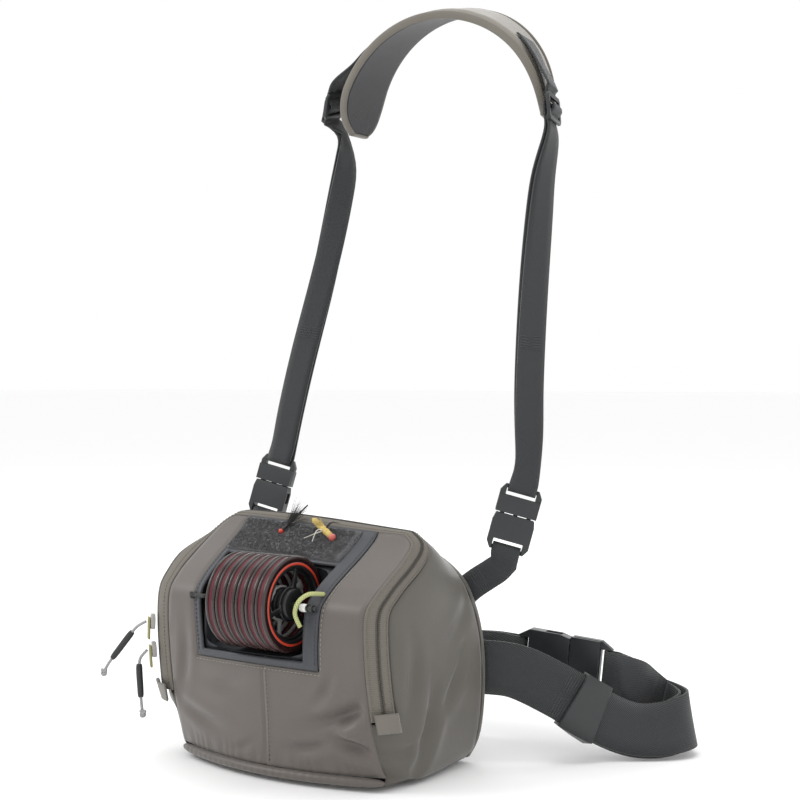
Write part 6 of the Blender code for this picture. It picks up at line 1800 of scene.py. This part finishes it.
@dataclass
class ShoulderPad:
    """The arched pad: a cloth cover with a raised stitched middle, air mesh below and a bound edge."""

    shop: Workshop
    span: float = 0.164
    rise: float = 0.083
    wide: float = 0.056
    thick: float = 0.0075
    mesh_thick: float = 0.0022
    gap: float = 0.0003
    binding: float = 0.0020
    binding_height: float = 0.0062
    turn: float = 3.0
    twist: float = 18.0
    tilt: float = 13.0
    base: Tuple[float, float, float] = (0.012, 0.14076, 0.467)

    def at(self, share: np.ndarray) -> Tuple[np.ndarray, np.ndarray, np.ndarray, np.ndarray]:
        """Middle of the inner face and the directions along, across and out: half an ellipse that twists."""
        turn = math.radians(self.turn)
        ahead = np.array([math.cos(turn), math.sin(turn), 0.0])
        up = np.array([0.0, 0.0, 1.0])
        angle = math.pi * (1 - share)
        cos, sin = np.cos(angle)[:, None], np.sin(angle)[:, None]
        centre = np.array(self.base) + ahead * (self.span / 2) * cos + up * self.rise * sin
        along = unit(ahead * (self.span / 2) * sin - up * self.rise * cos)
        turned = np.radians(self.turn + self.twist * smoothstep((share - 0.4) / 0.6))
        tilt = math.radians(self.tilt)
        level, rise = math.cos(tilt), np.full(len(share), math.sin(tilt))
        wish = np.column_stack([-np.sin(turned) * level, np.cos(turned) * level, rise])
        across = unit(wish - along * np.sum(along * wish, axis=1, keepdims=True))
        return centre, along, across, np.cross(along, across)

    def width(self, share: np.ndarray) -> np.ndarray:
        """Width along the pad: full in the middle, an ellipse's fall at both ends."""
        end = np.clip((np.abs(2 * share - 1) - 0.74) / 0.275, 0, 1)
        return self.wide * np.sqrt(1 - end**2)

    def layer(self, name: str, height: np.ndarray, low: float, tint: Tint, node: str) -> Piece:
        """One closed layer: its top over its bottom, as an outline round the pad's width.

        Args:
            name: The piece's name.
            height: The top's height above the layer's own base, by share along and across.
            low: The base's offset from the pad's inner face.
            tint: Its finish.
            node: The CAD node it stands for.

        Returns:
            The new object.
        """
        rows, columns = height.shape
        share = np.linspace(0.0, 1.0, rows)
        centre, _, across, out = self.at(share)
        lateral = np.linspace(-1, 1, columns)
        width = self.width(share)[:, None] / 2
        middle, aside, away = centre[:, None], across[:, None], out[:, None]
        top = middle + aside * (width * lateral)[..., None] + away * (low + height)[..., None]
        under = middle + aside * (width * lateral[::-1])[..., None] + away * low
        grid = np.concatenate([top, under], 1)
        count = grid.shape[1]
        i, j = cell_places(rows - 1, count)
        quads = cell_corners(i, j, (j + 1) % count, i + 1, count)
        v_of = arc_length(centre)
        u_all = np.concatenate([width * lateral, width * lateral[::-1]], 1)
        uv = np.stack([u_all, np.broadcast_to(v_of[:, None], u_all.shape)], -1).reshape(-1, 2)[quads]
        flat = grid.reshape(-1, 3)
        turned = faces_inward(flat, quads, grid.mean(axis=1)[i])
        if turned:
            quads, uv = quads[:, ::-1], uv[:, ::-1]
        faces = quads.tolist() + end_faces(rows, count, turned)
        uv = np.vstack([uv.reshape(-1, 2), np.zeros((2 * count, 2))])
        item = self.shop.mesh(name, flat + FOOT, faces, uv)
        self.shop.finish(item, tint, nodes=[node])
        return item

    def build(self) -> None:
        """Makes the cover, the air mesh, the binding and the stitching."""
        rows, columns = 140, 57
        share, lateral = np.linspace(0, 1, rows)[:, None], np.linspace(-1, 1, columns)[None]
        dome = self.thick - self.mesh_thick
        step = smoothstep((0.80 - np.abs(lateral)) / 0.16)
        ends = smoothstep((0.5 - np.abs(share - 0.5)) / 0.06)
        channel = np.exp(-(((np.abs(lateral) - 0.80) / 0.045) ** 2)) * 0.0007
        wrinkle = 0.00035 * np.sin(share * 78 + 2.0 * np.sin(lateral * 4)) * (1 - np.abs(lateral))
        wrinkle = wrinkle * (0.4 + 0.6 * np.sin(share * 13) ** 2)
        raised = 0.60 * step * (0.45 + 0.55 * ends) * (1 - 0.16 * lateral**2)
        height = dome * (0.36 + raised) - channel + wrinkle
        rim = smoothstep((1 - np.abs(lateral)) / 0.05)
        top = np.maximum(height * (0.55 + 0.45 * rim), 0.0008)
        cover = self.layer("pad_cover", top, self.gap + self.mesh_thick, Tint.PAD, "shoulder_pad")
        soft = self.mesh_thick * (0.9 + 0.1 * np.sin(share * 30)) * np.ones_like(lateral)
        under = self.layer("pad_air_mesh", soft, 0.0, Tint.MESH, "pad_mesh")
        self.build_binding()
        self.build_rows()

    def build_binding(self) -> None:
        """The folded tape round the edge: an oval carried along the pad's outline."""
        share = np.linspace(0.0, 1.0, 150)
        centre, along, across, out = self.at(share)
        width = self.width(share)
        away = (width / 2 + self.gap + self.binding / 2)[:, None]
        end = np.linspace(-0.92, 0.92, 14)
        sides = []
        for index, sign in ((-1, 1.0), (0, -1.0)):
            spot = centre[index] + across[index] * (end * away[index])[:, None] * sign * -1.0
            sides.append(spot + along[index] * (self.gap + self.binding / 2) * (1 if index else -1))
        high = self.binding_height / 2
        line = np.vstack([centre + across * away, sides[0], (centre - across * away)[::-1], sides[1]])
        corner = (len(end), 3)
        ups = np.vstack([out, np.broadcast_to(out[-1], corner), out[::-1], np.broadcast_to(out[0], corner)])
        line = line + ups * high
        tangent = unit(np.roll(line, -1, axis=0) - np.roll(line, 1, axis=0))
        ups = unit(ups - tangent * np.sum(ups * tangent, 1, keepdims=True))
        angle = np.linspace(0, 2 * math.pi, 16, endpoint=False)
        sine = np.sin(angle)
        tall = np.sign(sine) * np.abs(sine) ** 0.7 * high
        oval = np.column_stack([np.cos(angle) * self.binding * 0.62, tall])
        item = self.shop.sweep("pad_bound_edge", line, oval, np.cross(tangent, ups), ups, ring=True)
        self.shop.finish(item, Tint.BIND, nodes=["pad_binding"])

    def build_rows(self) -> None:
        """Rows of stitches in the channel on both sides of the raised middle."""
        share = np.linspace(0.05, 0.95, 300)
        centre, _, across, out = self.at(share)
        dome = self.thick - self.mesh_thick
        for sign, name in ((1, "rear"), (-1, "front")):
            for ring, lateral, lift in (("inner", 0.80, 0.36), ("outer", 0.93, 0.30)):
                path = centre + across * (self.width(share) / 2 * lateral * sign)[:, None]
                path = path + out * (self.gap + self.mesh_thick + dome * lift + 0.00055)
                self.shop.stitches(f"pad_stitches_{name}_{ring}", path, out, Tint.THREAD, slot="shoulder_pad")


# Studio


@dataclass
class Studio:
    """The camera, the pale floor and the soft lights."""

    turn: float = 35.5
    distance: float = 1.068
    aside: float = 0.0534
    height: float = 0.267
    lens: float = 67.5
    shift: float = -0.025

    def build(self) -> None:
        """Makes the camera, lights, floor and world."""
        turn = math.radians(self.turn)
        place = np.array([
            self.aside * math.cos(turn) + self.distance * math.sin(turn),
            self.aside * math.sin(turn) - self.distance * math.cos(turn),
            self.height,
        ]) + FOOT
        data = bpy.data.cameras.new("camera")
        data.lens, data.sensor_width, data.shift_y = self.lens, 36.0, self.shift
        camera = bpy.data.objects.new("camera", data)
        camera.location = place
        camera.rotation_euler = (math.pi / 2, 0.0, turn)
        bpy.context.scene.collection.objects.link(camera)
        bpy.context.scene.camera = camera
        self.build_floor()
        self.light("key", (-1.3, -1.2, 1.5), 0.9, 15.0)
        self.light("fill", (1.7, -1.0, 0.9), 1.6, 3.0)
        self.light("top", (0.1, 0.2, 1.9), 1.2, 9.0)
        self.light("back", (-0.8, 1.6, 0.9), 1.4, 5.0)
        world = bpy.data.worlds.new("studio")
        world.use_nodes = True
        background = world.node_tree.nodes["Background"]
        background.inputs["Color"].default_value = (1.0, 1.0, 1.0, 1.0)
        background.inputs["Strength"].default_value = 1.0
        bpy.context.scene.world = world
        bpy.context.scene.view_settings.view_transform = "Standard"

    def light(self, name: str, place: Sequence[float], size: float, power: float) -> None:
        """A square soft light that faces the bag.

        Args:
            name: Its name.
            place: Where it stands, from the bag's foot.
            size: The length of its side.
            power: Its power in watts.
        """
        data = bpy.data.lights.new(name, "AREA")
        data.shape, data.size, data.energy = "SQUARE", size, power
        item = bpy.data.objects.new(name, data)
        item.location = np.array(place) + FOOT
        aim = Vector(FOOT + np.array([0.0, 0.0, 0.2])) - item.location
        item.rotation_euler = aim.to_track_quat("-Z", "Y").to_euler()
        bpy.context.scene.collection.objects.link(item)

    @staticmethod
    def build_floor() -> None:
        """A plain pale floor just under the belt's lowest point."""
        data = bpy.data.meshes.new("floor")
        z = -0.5532  # 0.3 mm under the CAD's lowest point
        reach = 30.0
        corners = [(-reach, -reach, z), (reach, -reach, z), (reach, reach, z), (-reach, reach, z)]
        data.from_pydata(corners, [], [(0, 1, 2, 3)])
        floor = bpy.data.objects.new("floor", data)
        look = Look("floor")
        look.set(Base_Color=(0.97, 0.97, 0.97), Roughness=0.9)
        data.materials.append(look.material)
        bpy.context.scene.collection.objects.link(floor)


def main() -> None:
    """Loads the frame, builds each sub-assembly and logs each one as dressed."""
    logging.basicConfig(level=logging.INFO, format="%(name)s: %(message)s")
    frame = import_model()
    Studio().build()
    shop = Workshop(frame)
    for part in (ZipPulls(shop), SpoolRow(shop), Bag(shop), Flies(shop), Webbings(shop), ShoulderPad(shop)):
        part.build()
        LOG.info("%s is dressed", type(part).__name__)


if __name__ == "__main__":
    main()
